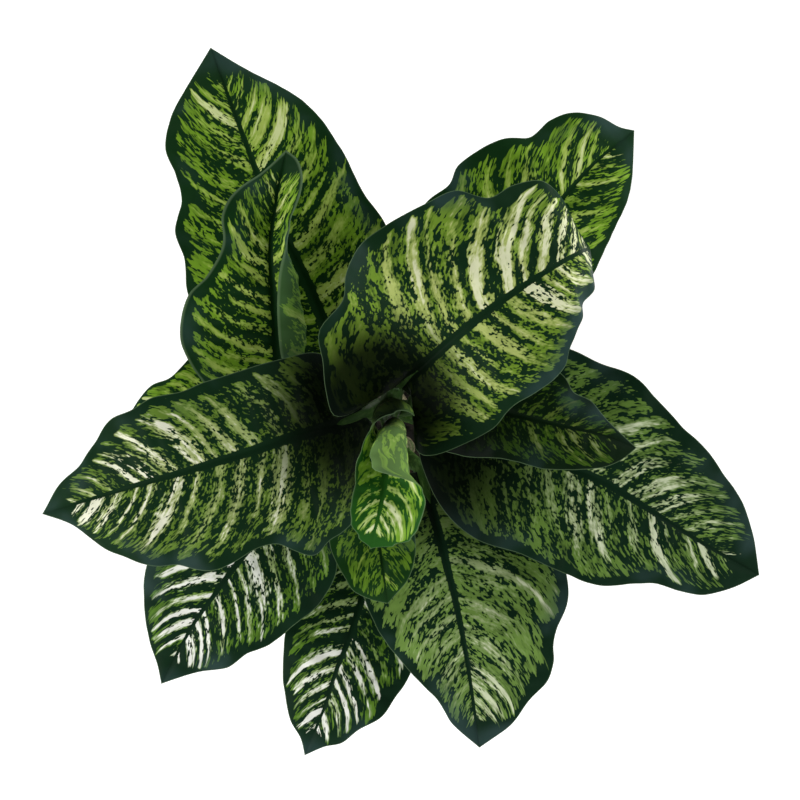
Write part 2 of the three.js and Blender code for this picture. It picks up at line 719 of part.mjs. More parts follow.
const plant = new THREE.Group();
const canes = makeCanes();
plant.add(makePot(), makeSoil(canes));
for (const cane of Object.values(canes)) plant.add(cane.mesh);
plant.add(makeRolledLeaf("leaf_unfurling", ROLLED, canes));
const youngestFirst = Object.entries(LEAVES).sort(([, a], [, b]) => b.node - a.node);
for (const [name, spec] of youngestFirst) plant.add(makeLeaf(name, spec, canes));

export default plant;
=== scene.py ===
"""A potted dieffenbachia, dressed: thirteen variegated leaves on two ringed canes, in a clay pot of soil.

Each piece replaces the plain solid of the same name and keeps its form. The leaf tables are in millimetres,
as on a grower's sketch, and MM turns them into metres.
"""

import math
from dataclasses import dataclass, replace

import bmesh
import bpy
import numpy as np
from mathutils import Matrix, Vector


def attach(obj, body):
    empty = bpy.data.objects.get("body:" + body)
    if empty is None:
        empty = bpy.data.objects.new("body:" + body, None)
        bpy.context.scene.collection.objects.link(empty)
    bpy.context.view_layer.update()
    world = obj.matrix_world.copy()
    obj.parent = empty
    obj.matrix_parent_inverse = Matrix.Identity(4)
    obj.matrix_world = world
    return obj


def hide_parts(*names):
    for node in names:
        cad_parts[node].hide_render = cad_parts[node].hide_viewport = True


bl_info = {
    "name": "Potted Dieffenbachia",
    "version": (1, 0, 0),
    "blender": (4, 5, 0),
    "location": "3D View > Sidebar > Dieffenbachia",
    "description": "Builds and dresses a variegated dieffenbachia in its pot",
    "category": "Object",
}

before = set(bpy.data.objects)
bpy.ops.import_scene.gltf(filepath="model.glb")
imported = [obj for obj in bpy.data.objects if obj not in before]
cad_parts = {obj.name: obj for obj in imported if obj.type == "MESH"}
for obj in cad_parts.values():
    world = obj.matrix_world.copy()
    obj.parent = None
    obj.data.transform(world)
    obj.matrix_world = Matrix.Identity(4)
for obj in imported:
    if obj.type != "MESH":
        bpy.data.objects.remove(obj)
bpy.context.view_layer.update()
BODY = "root"
MM = 0.001
UP = np.array([0.0, 0.0, 1.0])


# ---- The plant's own sizes, in millimetres ----


@dataclass
class Leaf:
    """A leaf's stalk, midrib and margins, base to tip, and how its halves lie."""

    cane: str  # the cane that it grows from
    node: float  # and the height at which it leaves it
    stalk: list  # points that the stalk passes
    rib: list  # the midrib in space
    left: list  # the margins as seen from above, on the left and right as one looks along the leaf
    right: list
    crown: float  # how far each half swells above the midrib
    rise: tuple  # how high each margin lies over the midrib
    wave: tuple  # height, number and start of the margin's waves
    bulge: tuple = ((0, 0), (0, 0))  # how far a curled half swells out sideways
    look: str = "green"  # its entry in LEAF_LOOKS


@dataclass
class RolledLeaf:
    """The youngest leaf: true widths of its halves, and their radii of roll, base to tip."""

    cane: str
    node: float
    stalk: list
    rib: list
    width: tuple
    radius: tuple
    look: str = "fresh"


@dataclass
class Cane:
    """A cane's middle line, its radius at foot and top, and the heights of its leaf scars."""

    line: list
    foot: float
    top: float
    scars: list


CANES = {
    "cane_main": Cane(
        line=[(-6, -2, 92), (-7, -3, 170), (-10, -6, 250), (-9, -7, 336)],
        foot=12,
        top=8.5,
        scars=[158, 172, 186, 200, 216, 231, 246, 261, 276, 290, 303, 318],
    ),
    "cane_front": Cane(
        line=[(4, -36, 98), (1, -37, 160), (-6, -40, 210), (-10, -43, 246)],
        foot=10.5,
        top=7.5,
        scars=[160, 175, 190, 206, 221, 236],
    ),
}

UNFURLING = RolledLeaf(
    cane="cane_main",
    node=328,
    stalk=[(-9, -14, 370), (-7, -26, 412)],
    rib=[
        (-6.5, -29, 440), (-7, -32, 464), (-9, -42, 480), (-10.5, -54, 486),
        (-12, -67, 488), (-15, -82, 489), (-19, -98, 485), (-22, -112, 476),
    ],
    width=(
        [8, 24, 34, 42, 50, 61, 66, 41, 37, 34, 29, 17, 0],
        [10, 46, 66, 44, 32, 28, 25, 23, 23, 22, 19, 11, 0],
    ),
    radius=(
        [5, 8, 9, 9, 10.5, 13.5, 17, 29, 42, 50, 60, 60, 60],
        [15, 15.5, 15.5, 14.5, 16, 20, 30, 42, 50, 60, 60, 60, 60],
    ),
)

LEAVES = {
    "leaf_crown_right": Leaf(
        cane="cane_main",
        node=312,
        stalk=[(-5, 4, 345), (-5, 8, 395)],
        rib=[
            (-2, 11, 432), (10, 19, 457), (37.5, 43.5, 490), (75, 73.5, 508), (109, 96, 506),
            (133.5, 110, 486), (140, 113, 456), (142.5, 114.5, 425),
        ],
        left=[
            (-21, 0), (-38, -11), (-49.5, -12), (-56, 8), (-58, 28.5), (-61, 51), (-43, 75),
            (-40.5, 94), (-30, 115.5), (-10, 131), (16.5, 145.5), (42, 157), (66, 151), (84, 160.5),
            (107, 164), (121.5, 151), (130.5, 131),
        ],
        right=[
            (14, -3), (16, -18), (10.5, -33), (15.5, -41), (26, -41.5), (52.5, -31), (71, -20), (84, -5),
            (109, 10),
            (122, 22.5), (128, 42), (136.5, 60), (137, 72), (145, 82.5), (144, 97.5),
        ],
        crown=7,
        rise=([4, 12, 10, 4, -4, -8, -6, 0], [0, 2, 0, -6, -12, -12, -8, 0]),
        bulge=([0, 0, 0, 0, 0, 6, 8, 0], [0, 0, 0, 0, 0, 0, 4, 0]),
        wave=(3, 4, 0.1),
        look="cream",
    ),
    "leaf_crown_left": Leaf(
        cane="cane_main",
        node=298,
        stalk=[(-18, -8, 335), (-23, -9, 380)],
        rib=[
            (-27, -10.5, 415), (-49, -19, 438), (-82.5, -28.5, 456), (-120, -41, 467),
            (-157.5, -52.5, 466), (-195, -63, 453), (-225, -72, 435), (-268.5, -85.5, 404),
        ],
        left=[
            (-17, -24), (-21, -48), (-31.5, -86), (-43, -99), (-52.5, -105), (-64, -116), (-79, -113),
            (-91.5, -108), (-109, -112), (-124, -122), (-142.5, -128), (-165, -124), (-187.5, -124),
            (-204, -118.5), (-225, -109), (-247.5, -93),
        ],
        right=[
            (-37.5, 19), (-61.5, 35), (-86, 31.5), (-120, 22), (-146, 13.5), (-165, 6), (-186, 1.5),
            (-202.5, -8), (-217.5, -15), (-230, -33), (-240, -49), (-255, -63),
        ],
        crown=6,
        rise=([-2, -8, -10, -10, -8, -4, 0], [-4, -6, 0, 4, 4, 2, 0]),
        wave=(3, 4, 0.35),
        look="ivory",
    ),
    "leaf_back_left_curled": Leaf(
        cane="cane_main",
        node=284,
        stalk=[(-31, -9, 318), (-62, -13, 354)],
        rib=[
            (-88.5, -11, 378), (-92, 30, 406), (-94.5, 75, 429), (-97, 116, 440), (-92, 154, 432),
            (-85.5, 187.5, 412),
        ],
        left=[
            (-124, -7.5), (-146, 11), (-160, 32), (-165, 51), (-159, 78), (-145, 93), (-133, 116),
            (-133.5, 139), (-123, 157.5), (-103.5, 171),
        ],
        right=[
            (-84, 7.5), (-90, 37.5), (-92, 75), (-90, 97.5), (-85, 116), (-81, 136.5), (-75, 154),
            (-73, 166.5), (-76.5, 180),
        ],
        crown=5,
        rise=([0, 0, 4, 8, 8, 4, 0], [3, 16, 24, 27, 28, 20, 0]),
        bulge=([0, 0], [0, 22, 28, 22, 4, 0, 0]),
        wave=(2.5, 3, 0),
        look="curled",
    ),
    "leaf_back_right": Leaf(
        cane="cane_main",
        node=256,
        stalk=[(-2, 11, 305), (4, 18, 352)],
        rib=[
            (9, 19.5, 388), (37.5, 52.5, 414), (75, 96, 427), (105, 130.5, 425), (125, 155, 418),
            (146, 178, 406), (176, 202.5, 383),
        ],
        left=[
            (-3, 45), (1.5, 101), (19, 147), (37, 162), (43, 175.5), (60, 188), (79, 196), (97.5, 197),
            (112.5, 210), (130, 216), (150, 213), (165, 205),
        ],
        right=[
            (41, 16.5), (90, 41), (129, 73.5), (144, 92), (155, 116), (167, 140), (172.5, 157.5),
            (175, 180),
        ],
        crown=6,
        rise=([0, 0, 2, 2, 0, 0], [0, -4, -10, -14, -10, 0]),
        wave=(2.5, 4, 0.6),
    ),
    "leaf_back_left": Leaf(
        cane="cane_main",
        node=226,
        stalk=[(-26, 5, 285), (-37, 11, 335)],
        rib=[
            (-41, 13, 362), (-52.5, 45, 385), (-71, 91, 400), (-97.5, 146, 401), (-118, 199, 387),
            (-142.5, 265, 350),
        ],
        left=[
            (-75, 9), (-131, 37.5), (-159, 78), (-162, 106.5), (-169, 126), (-164, 150), (-168, 169),
            (-176, 187.5), (-172.5, 211.5), (-157.5, 240),
        ],
        right=[
            (-4, 34), (7.5, 75), (-10.5, 131), (-28.5, 157.5), (-45, 190), (-61.5, 214), (-84, 232.5),
            (-111, 246),
        ],
        crown=6,
        rise=([-2, -6, -8, -4, -2, 0], [0, 0, -2, -4, -2, 0]),
        wave=(3, 4, 0.2),
    ),
    "leaf_right_small": Leaf(
        cane="cane_main",
        node=270,
        stalk=[(9, -5, 312)],
        rib=[
            (13, 2, 340), (37.5, -1.5, 358), (60, -5, 370), (83, -10.5, 377), (120, -19, 376),
            (148.5, -25.5, 367), (178, -36, 350),
        ],
        left=[
            (26, 24), (60, 34.5), (97.5, 31.5), (122, 19), (131, 6), (142.5, 0), (154, -13), (165, -24),
        ],
        right=[
            (9, -15), (20, -33), (47, -42), (75, -44), (90, -47), (109, -52), (135, -52.5), (152, -51),
            (166.5, -45),
        ],
        crown=4,
        rise=([0, 2, 2, 0], [0, -4, -6, 0]),
        wave=(2, 3, 0.5),
        look="shade",
    ),
    "leaf_right_broad": Leaf(
        cane="cane_main",
        node=196,
        stalk=[(10, -12, 240), (24, -18, 275)],
        rib=[
            (30, -22, 295), (60, -28, 312), (91, -35.5, 322), (121, -48, 327), (151, -60.5, 328),
            (182, -79, 323), (212, -98, 312), (242, -116, 298), (271, -132, 280),
        ],
        left=[
            (38, 11), (76, 39), (110, 44), (129, 38), (151, 28), (176, 18), (193, 1.5), (212, -20),
            (228, -34), (241, -51), (257, -76), (266, -100),
        ],
        right=[
            (15, -34), (21, -62), (35, -86), (58, -105), (87, -115), (113.5, -126), (136, -135.5),
            (154, -140), (189, -138), (210, -144), (229, -147), (250, -142),
        ],
        crown=6,
        rise=([0, -2, -2, -4, -2, 0], [0, -4, -8, -10, -6, 0]),
        wave=(2.5, 5, 0.15),
        look="grey",
    ),
    "leaf_left_under": Leaf(
        cane="cane_main",
        node=211,
        stalk=[(-28, -12, 262), (-44, -16, 306)],
        rib=[
            (-55, -15, 332), (-97.5, 0, 351), (-142.5, 6, 356), (-180, -4, 349), (-211.5, -22.5, 333),
        ],
        left=[
            (-75, -37.5), (-120, -49), (-165, -41), (-191, -31.5),
        ],
        right=[
            (-75, 21), (-120, 51), (-146, 45), (-159, 31), (-172.5, 17), (-187.5, 11), (-197, 0),
            (-202.5, -9),
        ],
        crown=4,
        rise=([0, -2, -4, 0], [0, 2, 2, 0]),
        wave=(2, 3, 0.7),
    ),
    "leaf_front_young": Leaf(
        cane="cane_front",
        node=240,
        stalk=[(-15, -50, 285), (-20, -56, 325)],
        rib=[
            (-21, -60, 345), (-18, -86, 364), (-15, -112.5, 374), (-12, -133.5, 373), (-9, -153, 362),
        ],
        left=[
            (-6, -67.5), (7.5, -86), (12, -107), (10.5, -121.5), (6, -135),
        ],
        right=[
            (-39, -73.5), (-52, -94), (-53, -109.5), (-48, -121.5), (-41, -135), (-35, -144),
            (-22.5, -150),
        ],
        crown=4,
        rise=([0, 2, 4, 0], [0, 2, 4, 0]),
        wave=(1.5, 2, 0.2),
        look="olive",
    ),
    "leaf_front_left": Leaf(
        cane="cane_front",
        node=215,
        stalk=[(-27, -42, 255)],
        rib=[
            (-45.5, -42, 290), (-68, -61, 305), (-95, -91, 315), (-121, -121, 318), (-140, -147, 313),
            (-155, -168, 304), (-180, -214, 281),
        ],
        left=[
            (-36, -64), (-39, -95), (-47, -117), (-49, -132.5), (-59, -151.5), (-76, -167),
            (-100, -185), (-115, -191), (-130, -201.5), (-159, -207),
        ],
        right=[
            (-72, -30), (-114, -45), (-155, -72), (-179.5, -100), (-192, -129), (-193, -148),
            (-189, -180), (-183, -199),
        ],
        crown=5,
        rise=([0, -4, -8, -10, -6, 0], [0, -2, -2, -4, -4, 0]),
        wave=(2.5, 4, 0.4),
        look="white",
    ),
    "leaf_front_right": Leaf(
        cane="cane_front",
        node=200,
        stalk=[(8, -46, 232)],
        rib=[
            (15, -53, 266), (26.5, -91, 289), (33, -116, 298), (42, -152, 301), (48, -182, 296),
            (53, -212.5, 284), (60, -262.5, 256),
        ],
        left=[
            (38, -47), (80, -68), (112, -102.5), (126, -134), (126, -153), (118, -173), (116, -186),
            (116, -199), (110, -214), (99, -225), (85, -244),
        ],
        right=[
            (-4, -61), (-25, -95), (-32, -129), (-24, -157), (-12, -181), (7.5, -205), (29, -227),
            (39, -244),
        ],
        crown=5,
        rise=([0, -6, -10, -8, -4, 0], [0, 0, -4, -6, -4, 0]),
        wave=(2.5, 4, 0.8),
        look="silver",
    ),
    "leaf_front_small": Leaf(
        cane="cane_front",
        node=184,
        stalk=[(-6, -60, 212)],
        rib=[
            (-9, -76, 235), (-19, -114, 256), (-29, -151, 264), (-38, -179, 265), (-48, -204, 259),
            (-55, -226.5, 250), (-72, -268.5, 229),
        ],
        left=[
            (8, -95), (16, -130), (15, -172), (8.5, -205), (-6, -229), (-14, -239.5), (-32, -249),
            (-44, -259), (-57, -262),
        ],
        right=[
            (-30.5, -80), (-57, -107), (-76, -141), (-86, -175), (-88.5, -194.5), (-87, -221),
            (-83, -242.5), (-75, -256),
        ],
        crown=4,
        rise=([0, -2, -6, -4, 0], [0, -2, -6, -4, 0]),
        wave=(2, 3, 0),
        look="white",
    ),
}

# Half sizes of a stalk at its foot, where it meets the blade and at its end under the midrib, and how far
# its middle lies below the midrib there.
STALK_FOOT = 7.5
STALK_CLASP = 1.35
STALK_NECK = 4.0
STALK_NECK_DROP = 3.8
STALK_END = 1.6
STALK_END_DROP = 2.9
STALK_UNDER = 0.14
STALK_RINGS = 44
STALK_SIDES = 28

# Material slots of a leaf.
BLADE_SLOT, UNDER_SLOT, STALK_SLOT = 0, 1, 2

# How many parts a blade is divided into along its midrib, each of its halves across, and a smooth line.
BLADE_STATIONS = 150
BLADE_STEPS = 26
LINE_STEPS = 240

# How far side veins sweep towards the tip, as a share of their length, and the width from which a half of a
# blade swells to its full crown.
VEIN_SWEEP = 0.35
FULL_WIDTH = 30

# The pot's rim is a band that steps out from the body and tapers a little downwards.
POT_HEIGHT = 165
POT_RIM_RADIUS = 95
POT_RIM_HEIGHT = 30
POT_RIM_STEP = 5
POT_RIM_TAPER = 1.5
POT_BASE_RADIUS = 66
POT_WALL = 7
POT_FLOOR = 9
POT_SIDES = 120
POT_STEP = 6  # the longest face of its profile

POT_DRAIN_RADIUS = 6
POT_DRAIN_CIRCLE = 38
POT_DRAINS = 4
POT_DRAIN_SIDES = 24

# The soil's surface lies SOIL_SINK under SOIL_TOP at its edge, mounds up in the middle, and is heaped round
# each cane. SOIL_GAP keeps it off the pot, and its body starts SOIL_SHOULDER lower.
SOIL_TOP = 147
SOIL_SINK = 2
SOIL_MOUND = 5
SOIL_HEAP = 3
SOIL_HEAP_REACH = 22
SOIL_GAP = 0.3
SOIL_SHOULDER = 8
SOIL_RINGS = 46
SOIL_SIDES = 150

# A cane swells a little round each scar, over CANE_SCAR_REACH each way. The scar's ring stands out from it by
# CANE_SCAR_STAND and leans by CANE_SCAR_TILT.
CANE_RINGS = 150
CANE_SIDES = 40
CANE_SCAR_SWELL = 0.5
CANE_SCAR_REACH = 3.5
CANE_SCAR_STAND = 0.35
CANE_SCAR_TILT = 0.16
CANE_FEET = [cane.line[1][:2] for cane in CANES.values()]

# The youngest leaf's seed, and how far apart the seeds of two leaves' markings are.
UNFURLING_SEED = 20
SEED_STEP = 1.37

# Distances in metres under which two points are one, and under which an edge has no length.
SAME_POINT = 5e-6
NO_LENGTH = 1e-6

# Orders of a face's corners that turn it outwards or inwards.
OUTWARDS = (0, 1, 2, 3)
INWARDS = (0, 3, 2, 1)

# The height of most leaves, at which the camera's frame width is measured.
LEAF_LEVEL = 420

# The floor's size and how far it lies under the pot, in metres, and how strongly it glows.
FLOOR_SIZE = 9.0
FLOOR_GAP = 0.0002
FLOOR_GLOW = 0.6


# ---- Colours and markings ----

# The upright line between the canes, round which blades and soil are painted darker as painted shade, and
# the heights between which cane and stalk tops turn dark green, as painted shade and, on the canes, young
# growth, all in metres.
AXIS = (-0.014, -0.002, 0.0)
SHADED_TOP_HEIGHTS = (0.24, 0.31)

# Distance between a blade's streaks: the least in metres, and otherwise a share of its midrib.
SMALLEST_SPACING = 0.0105
SPACING_SHARE = 0.06

# How blades and stalks shine.
LEAF_IOR = 1.42
LEAF_GLOSS = 0.03
STALK_GLOSS = 0.05

# Fixed colours of leaves, stalks, soil and surroundings.
# This near-black green darkens blades both as painted shade near the plant's middle and as a random mottle.
SHADE_AND_MOTTLE_DARK = (0.0015, 0.004, 0.0015, 1.0)
# Painted sheen: a bluish haze near the margins, standing in for the leaves' glossy reflection.
PAINTED_SHEEN = (0.042, 0.08, 0.078, 1.0)
RIM_GREEN = (0.17, 0.27, 0.13, 1.0)
# A dark young green; on stalk and cane tops it is mostly painted shade under the leaves.
SHADED_YOUNG_GREEN = (0.012, 0.03, 0.006, 1.0)
STALK_DARK = (0.03, 0.08, 0.012, 1.0)
STALK_LIGHT = (0.08, 0.16, 0.035, 1.0)
SKY_EDGE = (0.96, 0.98, 1.0, 1.0)
SKY_TOP = (0.02, 0.022, 0.025, 1.0)
# Painted shade on soil, bark and perlite round the canes.
SOIL_SHADE = (0.004, 0.003, 0.002, 1.0)


# Layers of noise over a blade: cycles for each metre along the midrib and out from it, offset and detail.
NOISE_LAYERS = {
    "broad": (60.0, 30.0, 0.0, 1.0),
    "middle": (190.0, 100.0, 11.0, 1.0),
    "fine": (430.0, 290.0, 23.0, 1.5),
    "fibre": (400.0, 30.0, 61.0, 1.5),
    "tone": (150.0, 45.0, 37.0, 2.0),
    "streak": (110.0, 12.0, 83.0, 1.0),
    "speck": (700.0, 420.0, 97.0, 1.0),
    "drift": (42.0, 6.0, 5.0, 1.0),
}
# What the side veins, the ragged margin, the green patches (dim and bright), the light streaks, their cores
# and the surface's height are mixed from, and how much of each.
VEIN_MIX = {"vein": 1.0, "drift": 1.5}
RAGGED_MIX = {"margin": 1.0, "broad": 2.8, "middle": 0.9}
GREEN_MIX = {
    "ridge": 0.24, "streak": 0.6, "fibre": 0.2, "middle": 0.85, "fine": 1.25, "speck": 0.6, "broad": 0.45,
    "outer": 0.05, "kept": -1.0,
}
BRIGHT_MIX = {"green": 0.6, "tone": 0.9, "fibre": 0.6}
LIGHT_MIX = {
    "ridge": 0.66, "streak": 0.9, "strength": 0.4, "middle": 0.6, "fine": 0.8, "speck": 0.5, "fibre": 0.6,
    "tone": 0.5, "outer": -0.25, "kept": -1.0,
}
WHITE_MIX = {"light": 0.8, "strength": 0.3, "tone": 0.6, "fibre": 0.6, "broad": 0.5, "tipward": 0.55}
HEIGHT_MIX = {"fine": 0.4, "lit": 0.3}


@dataclass
class Look:
    """A leaf's colours in scene-linear RGB, and how its marking lies."""

    ground: tuple  # the dark ground
    patch: tuple  # the green patches
    pale: tuple  # the light streaks
    cream: tuple  # and their cores
    cover: float  # how much of the blade the patches, streaks and cores take, from 0 to 1
    pale_cover: float
    cream_cover: float
    stripes: float  # how closely the marking follows the side veins
    lean: float  # how far the streaks slope towards the tip
    painted_shade_reach: float  # how far from the plant's middle, in metres, the blade is painted darker as painted shade
    under_painted_shade_reach: float = 0.012  # and its underside
    under: tuple = (0.09, 0.17, 0.06)  # the underside's own colour
    fade: float = 0.5  # and how far the marking fades into it
    rib_width: float = 1.0  # the dark midrib's width, as a share of the usual one
    margin: float = 0.0062  # the dark margin's width, in metres
    rim: float = 0.0008  # and the pale rim's


LEAF_LOOKS = {
    "cream": Look(
        ground=(0.008, 0.03, 0.011), patch=(0.18, 0.31, 0.03),
        pale=(0.5, 0.58, 0.17), cream=(0.86, 0.88, 0.56),
        cover=0.7, pale_cover=0.74, cream_cover=0.52, stripes=0.95, lean=0.05, painted_shade_reach=0.074,
    ),
    "ivory": Look(
        ground=(0.008, 0.03, 0.011), patch=(0.15, 0.26, 0.035),
        pale=(0.44, 0.52, 0.19), cream=(0.95, 0.95, 0.74),
        cover=0.66, pale_cover=0.68, cream_cover=0.5, stripes=0.9, lean=0.05, painted_shade_reach=0.1,
    ),
    "fresh": Look(
        ground=(0.02, 0.1, 0.012), patch=(0.22, 0.42, 0.035),
        pale=(0.52, 0.66, 0.2), cream=(0.85, 0.92, 0.55),
        cover=0.8, pale_cover=0.66, cream_cover=0.3, stripes=0.75, lean=0.0, painted_shade_reach=0.022,
        under=(0.36, 0.5, 0.18), fade=0.3, rib_width=1.9, margin=0.0028, rim=0.0012, under_painted_shade_reach=0.024,
    ),
    # Olive green, darkened as painted shadow, as this leaf lies under the youngest leaf.
    "olive": Look(
        ground=(0.01, 0.042, 0.008), patch=(0.12, 0.24, 0.02),
        pale=(0.31, 0.41, 0.08), cream=(0.44, 0.52, 0.17),
        cover=0.76, pale_cover=0.62, cream_cover=0.2, stripes=0.5, lean=0.0, painted_shade_reach=0.1,
    ),
    "green": Look(
        ground=(0.008, 0.036, 0.009), patch=(0.2, 0.38, 0.025),
        pale=(0.46, 0.6, 0.12), cream=(0.75, 0.83, 0.38),
        cover=0.74, pale_cover=0.7, cream_cover=0.28, stripes=0.8, lean=0.05, painted_shade_reach=0.08,
        under=(0.09, 0.19, 0.06),
    ),
    "white": Look(
        ground=(0.008, 0.028, 0.012), patch=(0.12, 0.25, 0.025),
        pale=(0.44, 0.56, 0.22), cream=(1.0, 1.0, 0.92),
        cover=0.64, pale_cover=0.66, cream_cover=0.64, stripes=1.0, lean=0.1, painted_shade_reach=0.14,
    ),
    "grey": Look(
        ground=(0.007, 0.025, 0.011), patch=(0.14, 0.25, 0.045),
        pale=(0.38, 0.47, 0.22), cream=(0.72, 0.78, 0.52),
        cover=0.72, pale_cover=0.68, cream_cover=0.5, stripes=0.6, lean=0.1, painted_shade_reach=0.15,
    ),
    "silver": Look(
        ground=(0.007, 0.025, 0.011), patch=(0.17, 0.29, 0.06),
        pale=(0.38, 0.47, 0.22), cream=(0.7, 0.76, 0.5),
        cover=0.93, pale_cover=0.8, cream_cover=0.52, stripes=0.5, lean=0.1, painted_shade_reach=0.13,
    ),
    "shade": Look(
        ground=(0.005, 0.016, 0.005), patch=(0.045, 0.1, 0.009),
        pale=(0.13, 0.18, 0.035), cream=(0.22, 0.27, 0.11),
        cover=0.64, pale_cover=0.55, cream_cover=0.2, stripes=0.8, lean=0.05, painted_shade_reach=0.13,
        under=(0.06, 0.12, 0.04),
    ),
}
# The curled leaf's pale rim is wider: partly its pale underside showing, partly a painted highlight on the
# curled margin.
LEAF_LOOKS["curled"] = replace(LEAF_LOOKS["green"], rim=0.0028)


# ---- Lines and surfaces ----


def smooth_line(points, count=LINE_STEPS):
    """count + 1 points evenly spaced along a smooth curve through the given points."""
    p = np.array(points, float)
    p = np.vstack([2 * p[0] - p[1], p, 2 * p[-1] - p[-2]])
    share = np.linspace(0, 1, 24, endpoint=False)[:, None]
    pieces = []
    for before, a, b, after in zip(p, p[1:], p[2:], p[3:]):
        d0, d1, d2 = (np.linalg.norm(gap) ** 0.5 for gap in (a - before, b - a, after - b))
        start = ((a - before) / d0 - (b - before) / (d0 + d1) + (b - a) / d1) * d1
        end = ((b - a) / d1 - (after - a) / (d1 + d2) + (after - b) / d2) * d1
        square = (3 * (b - a) - 2 * start - end) * share**2
        pieces.append(a + start * share + square + (2 * (a - b) + start + end) * share**3)
    dense = np.vstack([*pieces, p[-2]])
    gone = lengths(dense)
    even = np.linspace(0, gone[-1], count + 1)
    return np.stack([np.interp(even, gone, dense[:, k]) for k in range(dense.shape[1])], axis=1)


def lengths(line):
    """Distance gone at each point of a line, along its first axis."""
    steps = np.linalg.norm(np.diff(line, axis=0), axis=-1)
    return np.concatenate([np.zeros((1, *steps.shape[1:])), np.cumsum(steps, axis=0)])


def at_share(line, share):
    """Points of an evenly spaced line at shares of its length from 0 to 1."""
    where = np.asarray(share) * (len(line) - 1)
    number = np.arange(len(line))
    return np.stack([np.interp(where, number, line[:, k]) for k in range(line.shape[1])], axis=-1)


def heading(line, share):
    """Unit directions of an evenly spaced line at shares of its length."""
    step = 1.5 / (len(line) - 1)
    share = np.asarray(share)
    ahead = at_share(line, np.minimum(1, share + step)) - at_share(line, np.maximum(0, share - step))
    return unit(ahead)


def unit(vectors):
    """Vectors scaled to length one."""
    return vectors / np.maximum(np.linalg.norm(vectors, axis=-1, keepdims=True), 1e-9)


def eased(values, share):
    """The value at each share of a list spread evenly from 0 to 1, eased between its entries."""
    values = np.asarray(values, float)
    place = np.asarray(share) * (len(values) - 1)
    i = np.minimum(place.astype(int), len(values) - 2)
    t = place - i
    t = t * t * (3 - 2 * t)
    return values[i] * (1 - t) + values[i + 1] * t


def rounded(values, reach):
    """A list smoothed by a running mean, with its ends kept."""
    padded = np.pad(values, reach, mode="edge")
    mean = np.convolve(padded, np.ones(2 * reach + 1) / (2 * reach + 1), mode="valid")
    weight = np.minimum(1, np.minimum(np.arange(len(values)), np.arange(len(values))[::-1]) / reach)
    return values * (1 - weight) + mean * weight


def sine_noise(seed, *axes):
    """A smooth repeatable wobble from -1 to 1 over one or more axes."""
    rng = np.random.default_rng(seed)
    total = 0
    for octave in (1.0, 1.9, 3.1):
        turn = sum(axis * octave * rng.uniform(0.7, 1.3) * rng.choice([-1, 1]) for axis in axes)
        total = total + np.sin(turn + rng.uniform(0, 2 * math.pi)) / octave
    return total / 1.85


# ---- Leaf blades ----


def stations():
    """Shares of the midrib, closer together at the tip and most of all at the base."""
    even = np.linspace(0, 1, BLADE_STATIONS + 1)
    return (even**1.6 + (1 - np.cos(math.pi * even)) / 2) / 2


def vein_ends(leaf, outline, rib, share):
    """Where the vein that starts at each share of the midrib meets the margin, as seen from above."""
    flat_rib = rib[:, :2]
    margin = smooth_line([leaf.rib[0][:2], *outline, leaf.rib[-1][:2]], 2 * LINE_STEPS)
    gaps = np.linalg.norm(flat_rib[None] - margin[:, None], axis=2)
    near = gaps.argmin(axis=1)
    reach = near / (len(rib) - 1) - VEIN_SWEEP * gaps.min(axis=1) / lengths(rib)[-1]
    furthest = np.maximum.accumulate(np.maximum(0, reach))
    even = np.linspace(0, 1, len(margin))
    starts = np.maximum.accumulate(rounded(0.4 * even + 0.6 * furthest, 24)) + 1e-6 * even
    starts = (starts - starts[0]) / (starts[-1] - starts[0])
    return at_share(margin, np.interp(share, starts, even))


def half_blade(leaf, side, rib, share):
    """One half of a blade: a grid of points, station by step from midrib to margin."""
    outline, rise, bulge = ((leaf.left, leaf.right)[side], leaf.rise[side], leaf.bulge[side])
    height, count, start = leaf.wave
    outward = 1 if side == 0 else -1
    root = at_share(rib, share)
    ahead = heading(rib, share) * (1, 1, 0)
    out = unit(np.stack([-ahead[:, 1], ahead[:, 0], 0 * ahead[:, 0]], axis=1)) * outward
    waving = height * np.sin(2 * math.pi * (count * share + start)) * np.sin(math.pi * share)
    edge_height = root[:, 2] + eased(rise, share) + outward * waving
    end = np.column_stack([vein_ends(leaf, outline, rib, share), edge_height])
    width = np.linalg.norm((end - root)[:, :2], axis=1)
    lift = leaf.crown * np.minimum(1, width / FULL_WIDTH)
    swell = eased(bulge, share)
    curled = np.clip(swell, 0, 1)[:, None]
    inner = root + (end - root) / 3 + lift[:, None] * UP + swell[:, None] * out
    outer = root + (end - root) * 2 / 3 + lift[:, None] * UP + swell[:, None] * out
    inner[:, 2:] += curled * (root[:, 2:] - inner[:, 2:])
    outer[:, 2:] += curled * (end[:, 2:] - outer[:, 2:])
    s = blade_steps()[None, :, None]
    root, inner, outer, end = (p[:, None] for p in (root, inner, outer, end))
    return root * (1 - s) ** 3 + 3 * inner * s * (1 - s) ** 2 + 3 * outer * s**2 * (1 - s) + end * s**3


def blade_steps():
    """Shares of a vein from midrib to margin, closer together at the midrib."""
    return np.linspace(0, 1, BLADE_STEPS + 1) ** 1.3


def rolled_half(leaf, side, rib, share):
    """One half of the rolled leaf: each vein is an arc that curls up from the midrib."""
    ahead = heading(rib, share)
    east = unit(np.stack([-ahead[:, 1], ahead[:, 0], 0 * ahead[:, 0]], axis=1))
    over = np.cross(ahead, east)
    out = east if side == 0 else -east
    width = eased(leaf.width[side], share)[:, None]
    radius = eased(leaf.radius[side], share)[:, None]
    turn = width * np.linspace(0, 1, BLADE_STEPS + 1)[None] / radius
    root = at_share(rib, share)[:, None]
    across = (radius * np.sin(turn))[..., None] * out[:, None]
    return root + across + (radius * (1 - np.cos(turn)))[..., None] * over[:, None]


